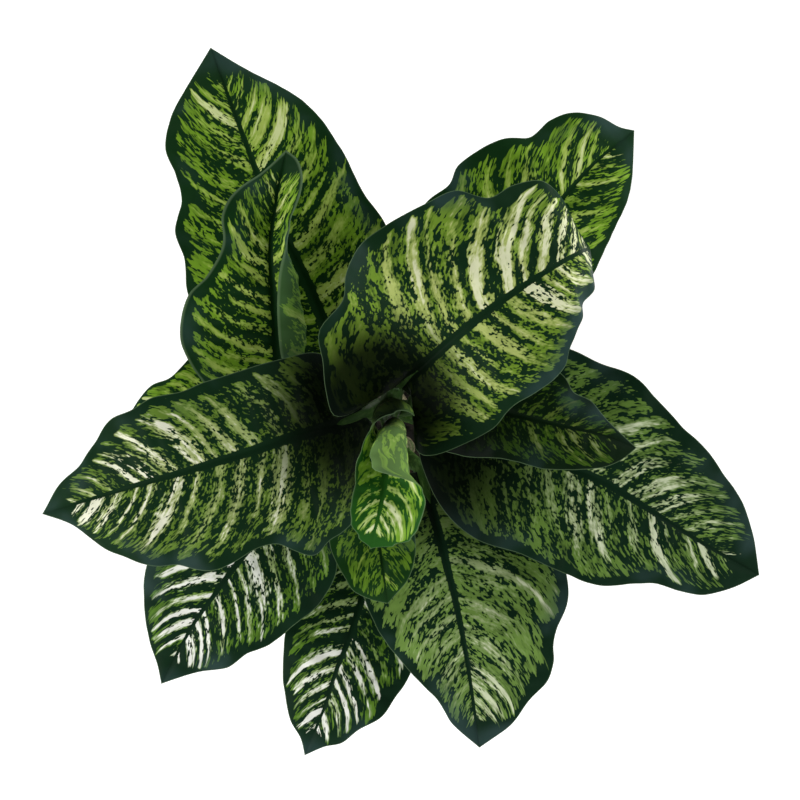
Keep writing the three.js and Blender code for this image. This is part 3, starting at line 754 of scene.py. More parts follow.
def blade_grid(left, right):
    """Both halves as one grid from left margin to right margin."""
    return np.concatenate([left[:, :0:-1], right], axis=1)


def grid_normals(grid):
    """Unit upward normals of a grid, with its pointed ends taken from the rows beside them."""
    forward = np.gradient(grid, axis=0)
    across = np.gradient(grid, axis=1)
    normals = unit(np.cross(across, forward))
    normals[0], normals[-1] = normals[2], normals[-3]
    normals[1] = normals[2]
    normals[-2] = normals[-3]
    return normals


def leaf_places(grid, rib_length, share):
    """For each grid point: distance along the midrib, signed distance from it and distance to the margin."""
    middle = grid.shape[1] // 2
    gone = lengths(grid.transpose(1, 0, 2))
    across = (gone - gone[middle]).T
    edge = np.where(across < 0, across - across[:, :1], across[:, -1:] - across)
    along = np.repeat(share[:, None] * rib_length, grid.shape[1], axis=1)
    return np.stack([along, across, np.abs(edge)], axis=2)


def blade_relief(places, seed, settings):
    """Height of the blade's fine relief: quilting between side veins, and a crinkled margin."""
    along, across, edge = places[..., 0], places[..., 1], places[..., 2]
    out = np.abs(across)
    total = along.max()
    width = out + edge
    swept = along + 0.12 * out**2 / np.maximum(width, 12) + 1.6 * sine_noise(seed, along / 30, across / 25)
    phase = swept / (settings.vein_spacing / MM)
    vein = np.exp(-(((phase - np.round(phase)) / 0.13) ** 2))
    inside = np.clip(out / 8, 0, 1) * np.clip(edge / 10, 0, 1)
    quilt = (0.5 * np.cos(2 * math.pi * (phase - 0.5)) - 0.7 * vein) * settings.vein_relief / MM * inside
    share = along / total
    crinkle = sine_noise(seed + 7, along / 7.5, np.sign(across) * 3) * np.exp(-edge / 6)
    crinkle = crinkle * np.sin(math.pi * share)
    ripple = sine_noise(seed + 3, along / 22, across / 30) * np.clip(out / 20, 0, 1)
    return quilt + settings.crinkle / MM * crinkle + settings.ripple / MM * ripple


def rib_groove(places):
    """Depth of the channel along the top of the midrib, and the swelling of the rib under it."""
    along, out = places[..., 0], np.abs(places[..., 1])
    left_over = 1 - along / along.max()
    depth = 0.25 + 1.3 * left_over
    broad = 1.2 + 2.6 * left_over
    channel = depth * (np.exp(-((out / broad) ** 2)) - 0.35 * np.exp(-(((out - 2.2 * broad) / broad) ** 2)))
    keel = (0.5 + 3.4 * left_over**1.2) * np.exp(-((out / (1.6 + 3.2 * left_over)) ** 2))
    return channel, keel


def blade_mesh(build, grid, places, seed, settings):
    """Adds a blade's upper face, underside, rim and closed ends to the mesh being built."""
    normals = grid_normals(grid)
    channel, keel = rib_groove(places)
    inside = np.sin(math.pi * np.clip(places[..., 0] / places[..., 0].max(), 0, 1)) ** 0.5
    relief = blade_relief(places, seed, settings) * inside
    top = grid + (relief - channel * inside)[..., None] * normals
    thickness = settings.blade_thickness / MM * np.clip(0.55 + places[..., 2] / 5, 0, 1) + keel
    under = grid + (relief - thickness)[..., None] * normals
    rows, columns = grid.shape[:2]
    first = build.add_points(top * MM, places * MM)
    second = build.add_points(under * MM, places * MM)
    index = np.arange(rows * columns).reshape(rows, columns)
    a, b, c, d = index[:-1, :-1], index[1:, :-1], index[1:, 1:], index[:-1, 1:]
    quads = np.stack([a, b, c, d], axis=-1).reshape(-1, 4)
    build.add_faces(quads[:, ::-1] + first, BLADE_SLOT)
    build.add_faces(quads + second, UNDER_SLOT)
    for edge, turned in ((index[:, 0], -1), (index[:, -1], 1), (index[0], 1), (index[-1], -1)):
        rim = np.stack([edge[:-1] + first, edge[:-1] + second, edge[1:] + second, edge[1:] + first], axis=1)
        build.add_faces(rim[:, ::turned], UNDER_SLOT)


# ---- Leaf stalks ----


def cane_share(cane, height):
    """How far up a cane a height is, from 0 to 1."""
    low, high = cane.line[0][2], cane.line[-1][2]
    return (height - low) / (high - low)


def stalk_line(leaf, rib):
    """The stalk's middle line, from inside its cane to its end under the midrib."""
    cane = CANES[leaf.cane]
    start = at_share(smooth_line(cane.line), cane_share(cane, leaf.node))
    neck = rib[0] - STALK_NECK_DROP * UP
    end = at_share(rib, STALK_UNDER) - STALK_END_DROP * UP
    return smooth_line([start, *leaf.stalk, neck, end], STALK_RINGS), start


def stalk_mesh(build, leaf, rib):
    """Adds a stalk: a broad sheath round the cane that narrows to a grooved stem and runs into the midrib."""
    line, start = stalk_line(leaf, rib)
    share = np.linspace(0, 1, len(line))
    neck_share = 1 - 1 / 9
    to_neck = np.minimum(1, share / neck_share) ** 0.6
    size = STALK_FOOT + (STALK_NECK - STALK_FOOT) * to_neck
    past = np.clip((share - neck_share) / (1 - neck_share), 0, 1)
    size = size + (STALK_END - size) * past * past * (3 - 2 * past)
    clasp = STALK_CLASP + (1 - STALK_CLASP) * to_neck
    groove = 0.1 + 0.5 * np.clip(1 - share / 0.7, 0, 1)
    turn = full_turn(STALK_SIDES)
    from_top = np.abs((turn - math.pi / 2 + math.pi) % (2 * math.pi) - math.pi)
    channel = np.exp(-((from_top / 0.42) ** 2))
    lips = np.exp(-(((from_top - 0.75) / 0.25) ** 2))
    lean = rib[0] - start
    side = unit(np.array([-lean[1], lean[0], 0.0]))
    ahead = heading(line, share)
    rings = []
    for i, point in enumerate(line):
        side = unit(side - ahead[i] * side.dot(ahead[i]))
        over = np.cross(side, ahead[i])
        reach = 1 - groove[i] * channel + 0.12 * groove[i] * lips
        across = size[i] * clasp[i] * reach * np.cos(turn)
        upward = size[i] * reach * np.sin(turn)
        rings.append(point + across[:, None] * side - upward[:, None] * over)
    rings = np.array(rings)
    gone = lengths(line)
    places = np.zeros((len(line), STALK_SIDES, 3))
    places[..., 0] = gone[:, None]
    places[..., 1] = (turn - math.pi)[None] * size[:, None]
    places[..., 2] = share[:, None] * 100
    add_tube(build, rings, places, STALK_SLOT)


# ---- Making meshes ----


class MeshBuild:
    """Points with their places on the surface, and faces with their material slots, for one piece."""

    def __init__(self):
        self.points = []
        self.places = []
        self.faces = []
        self.slots = []
        self.count = 0

    def add_points(self, points, places=None):
        """Adds points of any grid shape and returns the index of the first."""
        flat = np.asarray(points, float).reshape(-1, 3)
        first = self.count
        self.points.append(flat)
        places = np.zeros_like(flat) if places is None else np.asarray(places, float)
        self.places.append(places.reshape(-1, 3))
        self.count += len(flat)
        return first

    def add_faces(self, faces, slot=0):
        """Adds faces of one material slot."""
        faces = faces.tolist() if isinstance(faces, np.ndarray) else faces
        self.faces += faces
        self.slots += [slot] * len(faces)

    def finish(self, name, materials, sharp_degrees=50):
        """Makes the object, with doubles merged, smooth faces and a place attribute for its pattern."""
        mesh = bpy.data.meshes.new(name)
        mesh.from_pydata(np.vstack(self.points).tolist(), [], self.faces)
        mesh.polygons.foreach_set("material_index", np.array(self.slots, dtype=np.int32))
        place = mesh.attributes.new("place", "FLOAT_VECTOR", "POINT")
        place.data.foreach_set("vector", np.vstack(self.places).ravel())
        tidy = bmesh.new()
        tidy.from_mesh(mesh)
        bmesh.ops.remove_doubles(tidy, verts=tidy.verts, dist=SAME_POINT)
        bmesh.ops.dissolve_degenerate(tidy, edges=tidy.edges, dist=NO_LENGTH)
        tidy.to_mesh(mesh)
        tidy.free()
        for material in materials:
            mesh.materials.append(material)
        mesh.shade_smooth()
        mesh.set_sharp_from_angle(angle=math.radians(sharp_degrees))
        mesh.update()
        return link(bpy.data.objects.new(name, mesh))


def link(obj):
    """Puts an object in the scene."""
    bpy.context.scene.collection.objects.link(obj)
    return obj


def settle(piece, slot, *nodes):
    """A finished piece rides on the plant's one body and stands for its CAD nodes."""
    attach(piece, BODY)
    if nodes:
        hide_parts(*nodes)
    return piece


def bake_nodes(host, tree, inputs):
    """Runs a geometry node tree on an object, and leaves its result as the object's plain mesh."""
    modifier = host.modifiers.new(tree.name, "NODES")
    modifier.node_group = tree
    sockets = {item.name: item.identifier for item in tree.interface.items_tree if item.in_out == "INPUT"}
    for name, value in inputs.items():
        modifier[sockets[name]] = value
    bpy.context.view_layer.update()
    made = bpy.data.meshes.new_from_object(host.evaluated_get(bpy.context.evaluated_depsgraph_get()))
    host.modifiers.remove(modifier)
    old = host.data
    host.data = made
    made.name = host.name
    bpy.data.meshes.remove(old)
    if not made.polygons:
        raise RuntimeError(f"nothing was made for {host.name}")


def add_skin(build, rings, places=None, slot=0, order=OUTWARDS):
    """Adds rings of points, with faces between each ring and the next, and gives the points' numbers."""
    first = build.add_points(rings * MM, None if places is None else places * MM)
    count, sides = rings.shape[:2]
    index = first + np.arange(count * sides).reshape(count, sides)
    turned = np.roll(index, -1, axis=1)
    corners = (index[:-1], turned[:-1], turned[1:], index[1:])
    build.add_faces(np.stack([corners[k] for k in order], axis=-1).reshape(-1, 4), slot)
    return index


def add_tube(build, rings, places=None, slot=0):
    """Adds a closed tube through rings of points."""
    index = add_skin(build, rings, places, slot)
    build.add_faces([index[0, ::-1].tolist()], slot)
    build.add_faces([index[-1].tolist()], slot)


def full_turn(sides):
    """Even angles round a circle."""
    return np.linspace(0, 2 * math.pi, sides, endpoint=False)


def circles(radii, heights, sides):
    """Rings of points round the upright axis, one for each radius and height."""
    radii = np.asarray(radii, float)[:, None]
    heights = np.asarray(heights, float)[:, None]
    turn = full_turn(sides)
    return np.stack(np.broadcast_arrays(radii * np.cos(turn), radii * np.sin(turn), heights), axis=2)


def rounded_corners(corners, radius, steps=4):
    """A profile of (radius, height) points with each inner corner rounded."""
    corners = np.array(corners, float)
    points = [corners[0]]
    for before, corner, after in zip(corners, corners[1:], corners[2:]):
        arm_in, arm_out = before - corner, after - corner
        reach = min(radius, 0.45 * np.linalg.norm(arm_in), 0.45 * np.linalg.norm(arm_out))
        a, b = corner + unit(arm_in) * reach, corner + unit(arm_out) * reach
        for t in np.linspace(0, 1, steps + 1):
            points.append(a * (1 - t) ** 2 + 2 * corner * t * (1 - t) + b * t * t)
    points.append(corners[-1])
    return np.array(points)


# ---- Node trees ----


class Tree:
    """Short calls for building a shader or geometry node tree."""

    def __init__(self, tree):
        self.tree = tree

    def node(self, kind, values=None, **settings):
        """Adds a node. settings are its properties, and values its inputs, as sockets or numbers."""
        node = self.tree.nodes.new(kind)
        for key, value in settings.items():
            setattr(node, key, value)
        for key, value in (values or {}).items():
            self.set(node, key, value)
        return node

    def set(self, node, key, value):
        """Links or sets one input of a node."""
        socket = node.inputs[key]
        if isinstance(value, bpy.types.NodeSocket):
            self.tree.links.new(value, socket)
        else:
            socket.default_value = value

    def math(self, operation, a, b=0.0, c=0.0):
        """The result of a Math node."""
        node = self.node("ShaderNodeMath", {0: a, 1: b, 2: c}, operation=operation)
        return node.outputs[0]

    def smooth(self, value, low, high, to_low=0.0, to_high=1.0):
        """A value eased from to_low at low to to_high at high."""
        values = {0: value, 1: low, 2: high, 3: to_low, 4: to_high}
        return self.node("ShaderNodeMapRange", values, interpolation_type="SMOOTHSTEP").outputs[0]

    def mix(self, share, a, b):
        """Colour a turned into colour b by share."""
        node = self.node("ShaderNodeMix", data_type="RGBA")
        self.set(node, 0, share)
        self.set(node, 6, a)
        self.set(node, 7, b)
        return node.outputs[2]

    def noise(self, vector, scale=1.0, detail=2.0, roughness=0.5, distortion=0.0):
        """A noise texture's value."""
        values = {"Vector": vector, "Scale": scale, "Detail": detail, "Roughness": roughness}
        values["Distortion"] = distortion
        return self.node("ShaderNodeTexNoise", values).outputs["Fac"]

    def vector_math(self, operation, a, b):
        """The vector from a Vector Math node."""
        return self.node("ShaderNodeVectorMath", {0: a, 1: b}, operation=operation).outputs[0]

    def object_place(self):
        """Object coordinates."""
        return self.node("ShaderNodeTexCoord").outputs["Object"]

    def own_place(self):
        """A leaf's own coordinates: along it, across it and to its margin."""
        return self.node("ShaderNodeAttribute", attribute_name="place").outputs["Vector"]

    def vector(self, x, y, z):
        """A vector of three values."""
        return self.node("ShaderNodeCombineXYZ", {0: x, 1: y, 2: z}).outputs[0]

    def split(self, vector):
        """The three values of a vector."""
        return self.node("ShaderNodeSeparateXYZ", {0: vector}).outputs

    def bump(self, height, distance, strength=1.0):
        """A normal from a height in metres times distance."""
        values = {"Height": height, "Distance": distance, "Strength": strength}
        return self.node("ShaderNodeBump", values).outputs[0]


def rgba(colour):
    """A colour with its alpha."""
    return (*colour[:3], 1.0)


def node_group(kind, name, inputs, outputs):
    """A new node group's Tree, the sockets of its inputs, and its output node. Each of inputs is a name, a
    kind and, if it has one, a default."""
    group = bpy.data.node_groups.new(name, kind)
    for label, socket_kind, *default in inputs:
        socket = group.interface.new_socket(label, in_out="INPUT", socket_type="NodeSocket" + socket_kind)
        if default:
            socket.default_value = default[0]
    for label, socket_kind in outputs:
        group.interface.new_socket(label, in_out="OUTPUT", socket_type="NodeSocket" + socket_kind)
    tree = Tree(group)
    return tree, tree.node("NodeGroupInput").outputs, tree.node("NodeGroupOutput")


def new_material(name):
    """A material with only a Principled BSDF, and its Tree and shader."""
    material = bpy.data.materials.new(name)
    material.use_nodes = True
    tree = Tree(material.node_tree)
    shader = material.node_tree.nodes["Principled BSDF"]
    return material, tree, shader


def place_group(tree, name, values):
    """Adds one of the shared groups to a material."""
    return tree.node("ShaderNodeGroup", values, node_tree=bpy.data.node_groups[name])


def add_grain(tree, where, coarse, fine, share):
    """The tone and height of the shared grain."""
    values = {"Vector": where, "Coarse": coarse, "Fine": fine, "Share": share}
    placed = place_group(tree, "Fine Grain", values)
    return placed.outputs["Tone"], placed.outputs["Height"]


def axis_distance(tree, where):
    """How far a point is from the upright line between the leaf stalks."""
    flat = tree.vector_math("MULTIPLY", where, (1.0, 1.0, 0.0))
    return tree.node("ShaderNodeVectorMath", {0: flat, 1: AXIS}, operation="DISTANCE").outputs["Value"]


def weighed(tree, parts, mix):
    """The sum of the named parts, each times its weight in the mix."""
    total = 0.0
    for name, weight in mix.items():
        total = tree.math("MULTIPLY_ADD", parts[name], weight, total)
    return total


def covered(tree, value, amount, low, high, soft):
    """One where the value passes a threshold, which amount lowers from high to low."""
    threshold = tree.math("MULTIPLY_ADD", amount, low - high, high)
    return tree.smooth(value, threshold, tree.math("ADD", threshold, soft))


def blade_parts(tree, given):
    """What a blade's marking is mixed from, by name: places on it, veins, and noise that runs along them."""
    along, across, edge = tree.split(given["Place"])
    out = tree.math("ABSOLUTE", across)
    depth = tree.math("ADD", tree.math("MULTIPLY", tree.math("SIGN", across), 3.7), given["Seed"])
    width = tree.math("MAXIMUM", tree.math("ADD", out, edge), 0.012)
    share = tree.math("DIVIDE", along, given["Rib Length"])
    outward = tree.math("DIVIDE", out, width)
    bend = tree.math("MULTIPLY", tree.math("MULTIPLY", out, outward), 0.3)
    wander = tree.noise(tree.vector(along, across, depth), 28.0, 2.0, 0.5)
    shift = tree.math("MULTIPLY", tree.math("SUBTRACT", wander, 0.5), 0.009)
    lean = tree.math("MULTIPLY_ADD", tree.math("POWER", share, 3.0), 1.5, given["Lean"])
    swept = tree.math("SUBTRACT", along, tree.math("MULTIPLY_ADD", out, lean, bend))
    swept = tree.math("ADD", swept, shift)
    parts = {"edge": edge, "out": out, "width": width, "share": share}
    for name, (per_metre_along, per_metre_out, offset, detail) in NOISE_LAYERS.items():
        x = tree.math("MULTIPLY", swept, per_metre_along)
        y = tree.math("MULTIPLY", out, per_metre_out)
        noise = tree.noise(tree.vector(x, y, tree.math("ADD", depth, offset)), 1.0, detail, 0.55)
        parts[name] = tree.math("SUBTRACT", noise, 0.5)
    parts["vein"] = tree.math("DIVIDE", swept, given["Spacing"])
    phase = weighed(tree, parts, VEIN_MIX)
    turn = tree.math("ABSOLUTE", tree.math("SUBTRACT", tree.math("FRACT", phase), 0.5))
    parts["ridge"] = tree.math("MULTIPLY", tree.smooth(turn, 0.0, 0.5, 1.0, 0.0), given["Stripes"])
    number = tree.vector(tree.math("FLOOR", phase), depth, 0.0)
    strength = tree.node("ShaderNodeTexWhiteNoise", {"Vector": number}, noise_dimensions="2D")
    parts["strength"] = tree.math("SUBTRACT", strength.outputs["Value"], 0.5)
    parts["outer"] = tree.smooth(outward, 0.35, 0.9)
    parts["tipward"] = tree.math("SUBTRACT", share, 0.45)
    parts["kept"] = kept_dark(tree, given, parts)
    return parts


def kept_dark(tree, given, parts):
    """How far a blade's margin, midrib and tip keep free of markings."""
    band = tree.math("MINIMUM", tree.math("MULTIPLY", parts["width"], 0.13), given["Margin"])
    parts["margin"] = tree.math("DIVIDE", parts["edge"], band)
    near_margin = tree.smooth(weighed(tree, parts, RAGGED_MIX), 0.35, 1.7, 0.75, 0.0)
    rib_reach = tree.smooth(parts["share"], 0.0, 0.95, 0.018, 0.0048)
    for factor in ("Rib Length", "Rib Width"):
        rib_reach = tree.math("MULTIPLY", rib_reach, given[factor])
    near_rib = tree.smooth(tree.math("DIVIDE", parts["out"], rib_reach), 0.6, 1.1, 0.8, 0.0)
    near_tip = tree.smooth(parts["share"], 0.86, 0.97, 0.0, 0.95)
    return tree.math("ADD", tree.math("ADD", near_margin, near_rib), near_tip)


def marking_shares(tree, given, parts):
    """How far the dim green, the bright green, the pale streaks and their cream cores cover each point."""
    parts["green"] = weighed(tree, parts, GREEN_MIX)
    parts["light"] = weighed(tree, parts, LIGHT_MIX)
    white = weighed(tree, parts, WHITE_MIX)
    dim = covered(tree, parts["green"], given["Cover"], -0.1, 0.5, 0.05)
    unbroken = covered(tree, parts["green"], given["Cover"], -0.16, 0.44, 0.05)
    bright = covered(tree, weighed(tree, parts, BRIGHT_MIX), given["Cover"], -0.25, 0.25, 0.35)
    pale = covered(tree, parts["light"], given["Pale Cover"], -0.05, 0.8, 0.5)
    pale = tree.math("MULTIPLY", pale, unbroken)
    cream = tree.math("MULTIPLY", covered(tree, white, given["Cream Cover"], 0.0, 0.95, 0.4), pale)
    return dim, tree.math("MULTIPLY", bright, dim), pale, cream


MARKING_INPUTS = (
    ("Place", "Vector"),
    ("Seed", "Float", 0.0),
    *((name, "Color") for name in ("Ground", "Patch", "Pale", "Cream")),
    *((name, "Float", 0.5) for name in ("Cover", "Pale Cover", "Cream Cover")),
    ("Stripes", "Float", 1.0),
    ("Spacing", "Float", 0.019),
    ("Rib Length", "Float", 0.25),
    ("Rib Width", "Float", 1.0),
    ("Margin", "Float", 0.006),
    ("Rim", "Float", 0.0008),
    ("Lean", "Float", 0.05),
    ("Where", "Vector"),
    ("Dusk", "Float", 0.1),
)


def leaf_marking_group():
    """The marking of a variegated blade: light streaks along its side veins, ragged patches of green between
    them, and a dark margin and midrib. It also paints shade near the plant's middle, and a bluish sheen near
    the margin."""
    outputs = [("Color", "Color"), ("Light", "Float"), ("Height", "Float")]
    tree, given, result = node_group("ShaderNodeTree", "Leaf Marking", MARKING_INPUTS, outputs)
    parts = blade_parts(tree, given)
    dim, bright, pale, cream = marking_shares(tree, given, parts)
    # Painted shade: blades are painted darker, and their pale streaks dimmed, near the plant's middle.
    reach = tree.math("DIVIDE", axis_distance(tree, given["Where"]), given["Dusk"])
    clear_of_painted_shade = tree.smooth(reach, 0.6, 1.2, 0.1, 1.0)
    # Painted sheen: bluish patches near the margin stand in for the glossy reflection of the surroundings.
    sheen_patches = tree.smooth(tree.noise(given["Where"], 17.0, 2.0, 0.5), 0.48, 0.66, 0.0, 0.55)
    outskirts = tree.smooth(parts["edge"], 0.004, 0.024, 1.0, 0.0)
    rim = tree.math("DIVIDE", parts["edge"], given["Rim"])
    colour = given["Ground"]
    for share, coat in (
        (dim, tree.mix(0.55, given["Patch"], given["Ground"])),
        (bright, given["Patch"]),
        (tree.math("MULTIPLY", pale, clear_of_painted_shade), given["Pale"]),
        (tree.math("MULTIPLY", cream, clear_of_painted_shade), given["Cream"]),
        (tree.math("MULTIPLY", sheen_patches, outskirts), PAINTED_SHEEN),
        # painted shade near the plant's middle
        (tree.smooth(reach, 0.5, 1.05, 0.96, 0.0), SHADE_AND_MOTTLE_DARK),
        (tree.smooth(rim, 0.25, 1.0, 0.5, 0.0), RIM_GREEN),
    ):
        colour = tree.mix(share, colour, coat)
    parts["lit"] = tree.math("MAXIMUM", dim, pale)
    tree.set(result, "Color", colour)
    tree.set(result, "Light", parts["lit"])
    tree.set(result, "Height", weighed(tree, parts, HEIGHT_MIX))


def grain_group():
    """A fine grain for all finishes: two sizes of noise as one height, and the coarser one as a tone."""
    tree, given, result = node_group(
        "ShaderNodeTree",
        "Fine Grain",
        [("Vector", "Vector"), ("Coarse", "Float", 60.0), ("Fine", "Float", 600.0), ("Share", "Float", 0.5)],
        [("Tone", "Float"), ("Height", "Float")],
    )
    coarse = tree.noise(given["Vector"], given["Coarse"], 3.0, 0.55)
    fine = tree.noise(given["Vector"], given["Fine"], 2.0, 0.6)
    mixed = tree.node("ShaderNodeMix", {0: given["Share"], 2: coarse, 3: fine}).outputs[0]
    tree.set(result, "Tone", coarse)
    tree.set(result, "Height", mixed)


# ---- Finishes ----


def leaf_materials(name, leaf, seed, rib_length):
    """The upper face and the paler underside of one leaf."""
    look = LEAF_LOOKS[leaf.look]
    made = []
    for face, fade in (("top", 0.0), ("under", look.fade)):
        material, tree, shader = new_material(f"{name}_{face}")
        values = {
            "Place": tree.own_place(),
            "Where": tree.object_place(),
            "Seed": seed,
            "Rib Length": rib_length,
            "Spacing": max(SMALLEST_SPACING, SPACING_SHARE * rib_length),
            "Dusk": look.under_painted_shade_reach if face == "under" else look.painted_shade_reach,
        }
        for key in ("Ground", "Patch", "Pale", "Cream"):
            values[key] = rgba(blend_colours(getattr(look, key.lower()), look.under, fade))
        for key in ("Cover", "Pale Cover", "Cream Cover", "Stripes", "Lean", "Rib Width", "Margin", "Rim"):
            values[key] = getattr(look, key.lower().replace(" ", "_"))
        marking = place_group(tree, "Leaf Marking", values)
        tone, pores = add_grain(tree, values["Place"], 45.0, 900.0, 0.35)
        mottle = tree.smooth(tone, 0.3, 0.7, 0.12, 0.0)
        tree.set(shader, "Base Color", tree.mix(mottle, marking.outputs["Color"], SHADE_AND_MOTTLE_DARK))
        matte = 0.25 * fade
        rough = tree.smooth(marking.outputs["Light"], 0.0, 1.0, 0.38 + matte, 0.48 + matte)
        tree.set(shader, "Roughness", tree.math("ADD", rough, tree.smooth(pores, 0.3, 0.7, -0.05, 0.06)))
        tree.set(shader, "Normal", tree.bump(marking.outputs["Height"], 0.00035, 0.5))
        shader.inputs["IOR"].default_value = LEAF_IOR
        shader.inputs["Specular IOR Level"].default_value = LEAF_GLOSS
        made.append(material)
    return made


def blend_colours(a, b, share):
    """A colour share of the way from a to b."""
    return tuple(x + (y - x) * share for x, y in zip(a, b))


def stalk_material():
    """Fresh green stalks, mottled paler along their length, with painted shade darkening their tops."""
    material, tree, shader = new_material("stalk_green")
    stretched = tree.vector_math("MULTIPLY", tree.own_place(), (0.35, 1.0, 0.0))
    tone, pores = add_grain(tree, stretched, 240.0, 1500.0, 0.5)
    height = tree.split(tree.object_place())[2]
    green = tree.mix(tree.smooth(tone, 0.5, 0.62), STALK_DARK, STALK_LIGHT)
    # Painted shade: stalks turn dark towards their tops, under the leaves.
    tree.set(shader, "Base Color", tree.mix(tree.smooth(height, *SHADED_TOP_HEIGHTS, 0.0, 0.8), green, SHADED_YOUNG_GREEN))
    tree.set(shader, "Roughness", tree.smooth(pores, 0.3, 0.7, 0.5, 0.65))
    shader.inputs["Specular IOR Level"].default_value = STALK_GLOSS
    tree.set(shader, "Normal", tree.bump(pores, 0.0002, 0.4))
    return material


def blended(tree, a, share_a, b, share_b):
    """Two values added by their shares."""
    return tree.math("ADD", tree.math("MULTIPLY", a, share_a), tree.math("MULTIPLY", b, share_b))


def cane_material(name, dark, light):
    """Bark with upright fibres, greener near the top of the cane, and darker there as painted shade."""
    material, tree, shader = new_material(name)
    where = tree.object_place()
    tone, pores = add_grain(tree, where, 90.0, 1400.0, 0.6)
    fibres = tree.noise(tree.vector_math("MULTIPLY", where, (1.0, 1.0, 0.12)), 900.0, 3.0, 0.6)
    tone = blended(tree, tone, 0.6, fibres, 0.4)
    bark = tree.mix(tree.smooth(tone, 0.35, 0.65), rgba(dark), rgba(light))
    # Greener and darker near the top: young growth, and painted shade under the leaves.
    young_and_shaded = tree.smooth(tree.split(where)[2], *SHADED_TOP_HEIGHTS, 0.0, 0.9)
    tree.set(shader, "Base Color", tree.mix(young_and_shaded, bark, SHADED_YOUNG_GREEN))
    tree.set(shader, "Roughness", tree.smooth(tone, 0.3, 0.7, 0.75, 0.5))
    tree.set(shader, "Normal", tree.bump(tree.math("ADD", pores, fibres), 0.0006, 0.6))
    return material


def clay_material(settings):
    """Fired clay with turning marks, and a chalky bloom where water has dried."""
    material, tree, shader = new_material("fired_clay")
    where = tree.object_place()
    x, y, z = tree.split(where)
    tone, pores = add_grain(tree, where, 22.0, 1300.0, 0.7)
    clouds = tree.noise(where, 14.0, 4.0, 0.6, 0.4)
    near_foot = tree.smooth(z, 0.0, 0.05, 0.75, 0.25)
    bloom = tree.math("MULTIPLY", tree.smooth(clouds, 0.48, 0.68), near_foot)
    dark = blend_colours(settings.clay_color, (0, 0, 0), 0.3)
    clay = tree.mix(tree.smooth(tone, 0.3, 0.7), rgba(dark), rgba(settings.clay_color))
    tree.set(shader, "Base Color", tree.mix(bloom, clay, rgba(settings.bloom_color)))
    tree.set(shader, "Roughness", tree.smooth(pores, 0.3, 0.7, 0.78, 0.92))
    around = tree.vector(tree.math("MULTIPLY", x, 0.03), tree.math("MULTIPLY", y, 0.03), z)
    marks = tree.math("MULTIPLY", tree.noise(around, 420.0, 2.0, 0.5), 1.6)
    tree.set(shader, "Normal", tree.bump(tree.math("ADD", pores, marks), 0.0004, 0.7))
    return material


def soil_material(name, dark, light, coarse):
    """A crumbly material: soil, bark or perlite, with painted shade darkening it round the canes."""
    material, tree, shader = new_material(name)
    where = tree.object_place()
    tone, pores = add_grain(tree, where, coarse, 1800.0, 0.6)
    tone = blended(tree, tone, 0.5, pores, 0.5)
    dry = tree.mix(tree.smooth(tone, 0.35, 0.65), rgba(dark), rgba(light))
    # Painted shade: darker round the canes, under the leaves.
    shade_near_canes = tree.smooth(axis_distance(tree, where), 0.035, 0.07, 0.85, 0.0)
    tree.set(shader, "Base Color", tree.mix(shade_near_canes, dry, SOIL_SHADE))
    tree.set(shader, "Roughness", tree.smooth(pores, 0.3, 0.7, 0.85, 1.0))
    tree.set(shader, "Normal", tree.bump(pores, 0.0012, 0.9))
    return material


# ---- Scattered and repeated shapes ----


def geometry_tree(name, inputs):
    """A new geometry node tree with named inputs, as node_group gives it."""
    shape = ("Geometry", "Geometry")
    return node_group("GeometryNodeTree", name, [shape, *inputs], [shape])


# Least and greatest turns of a scattered grain about each axis, in radians.
GRAIN_TURNS = ((-0.5, -0.5, 0.0), (0.5, 0.5, 6.283))
# Which of the Random Value node's sockets belong to each kind of value.
RANDOM_SOCKETS = {"FLOAT_VECTOR": 0, "FLOAT": 1, "INT": 2}


def random_value(tree, kind, low, high, seed):
    """A random value or vector for each point."""
    place = RANDOM_SOCKETS[kind]
    node = tree.node("FunctionNodeRandomValue", data_type=kind)
    for key, value in ((2 * place, low), (2 * place + 1, high), ("Seed", seed)):
        tree.set(node, key, value)
    return node.outputs[place]


def shifted(tree, geometry, spot, scale, detail, reach):
    """Geometry with its points shifted by a noise of the given scale, up to about a third of reach."""
    noise = tree.node("ShaderNodeTexNoise", {"Vector": spot, "Scale": scale, "Detail": detail})
    centred = tree.vector_math("SUBTRACT", noise.outputs["Color"], (0.5, 0.5, 0.5))
    offset = tree.node("ShaderNodeVectorMath", {0: centred, "Scale": reach}, operation="SCALE").outputs[0]
    return tree.node("GeometryNodeSetPosition", {"Geometry": geometry, "Offset": offset}).outputs[0]


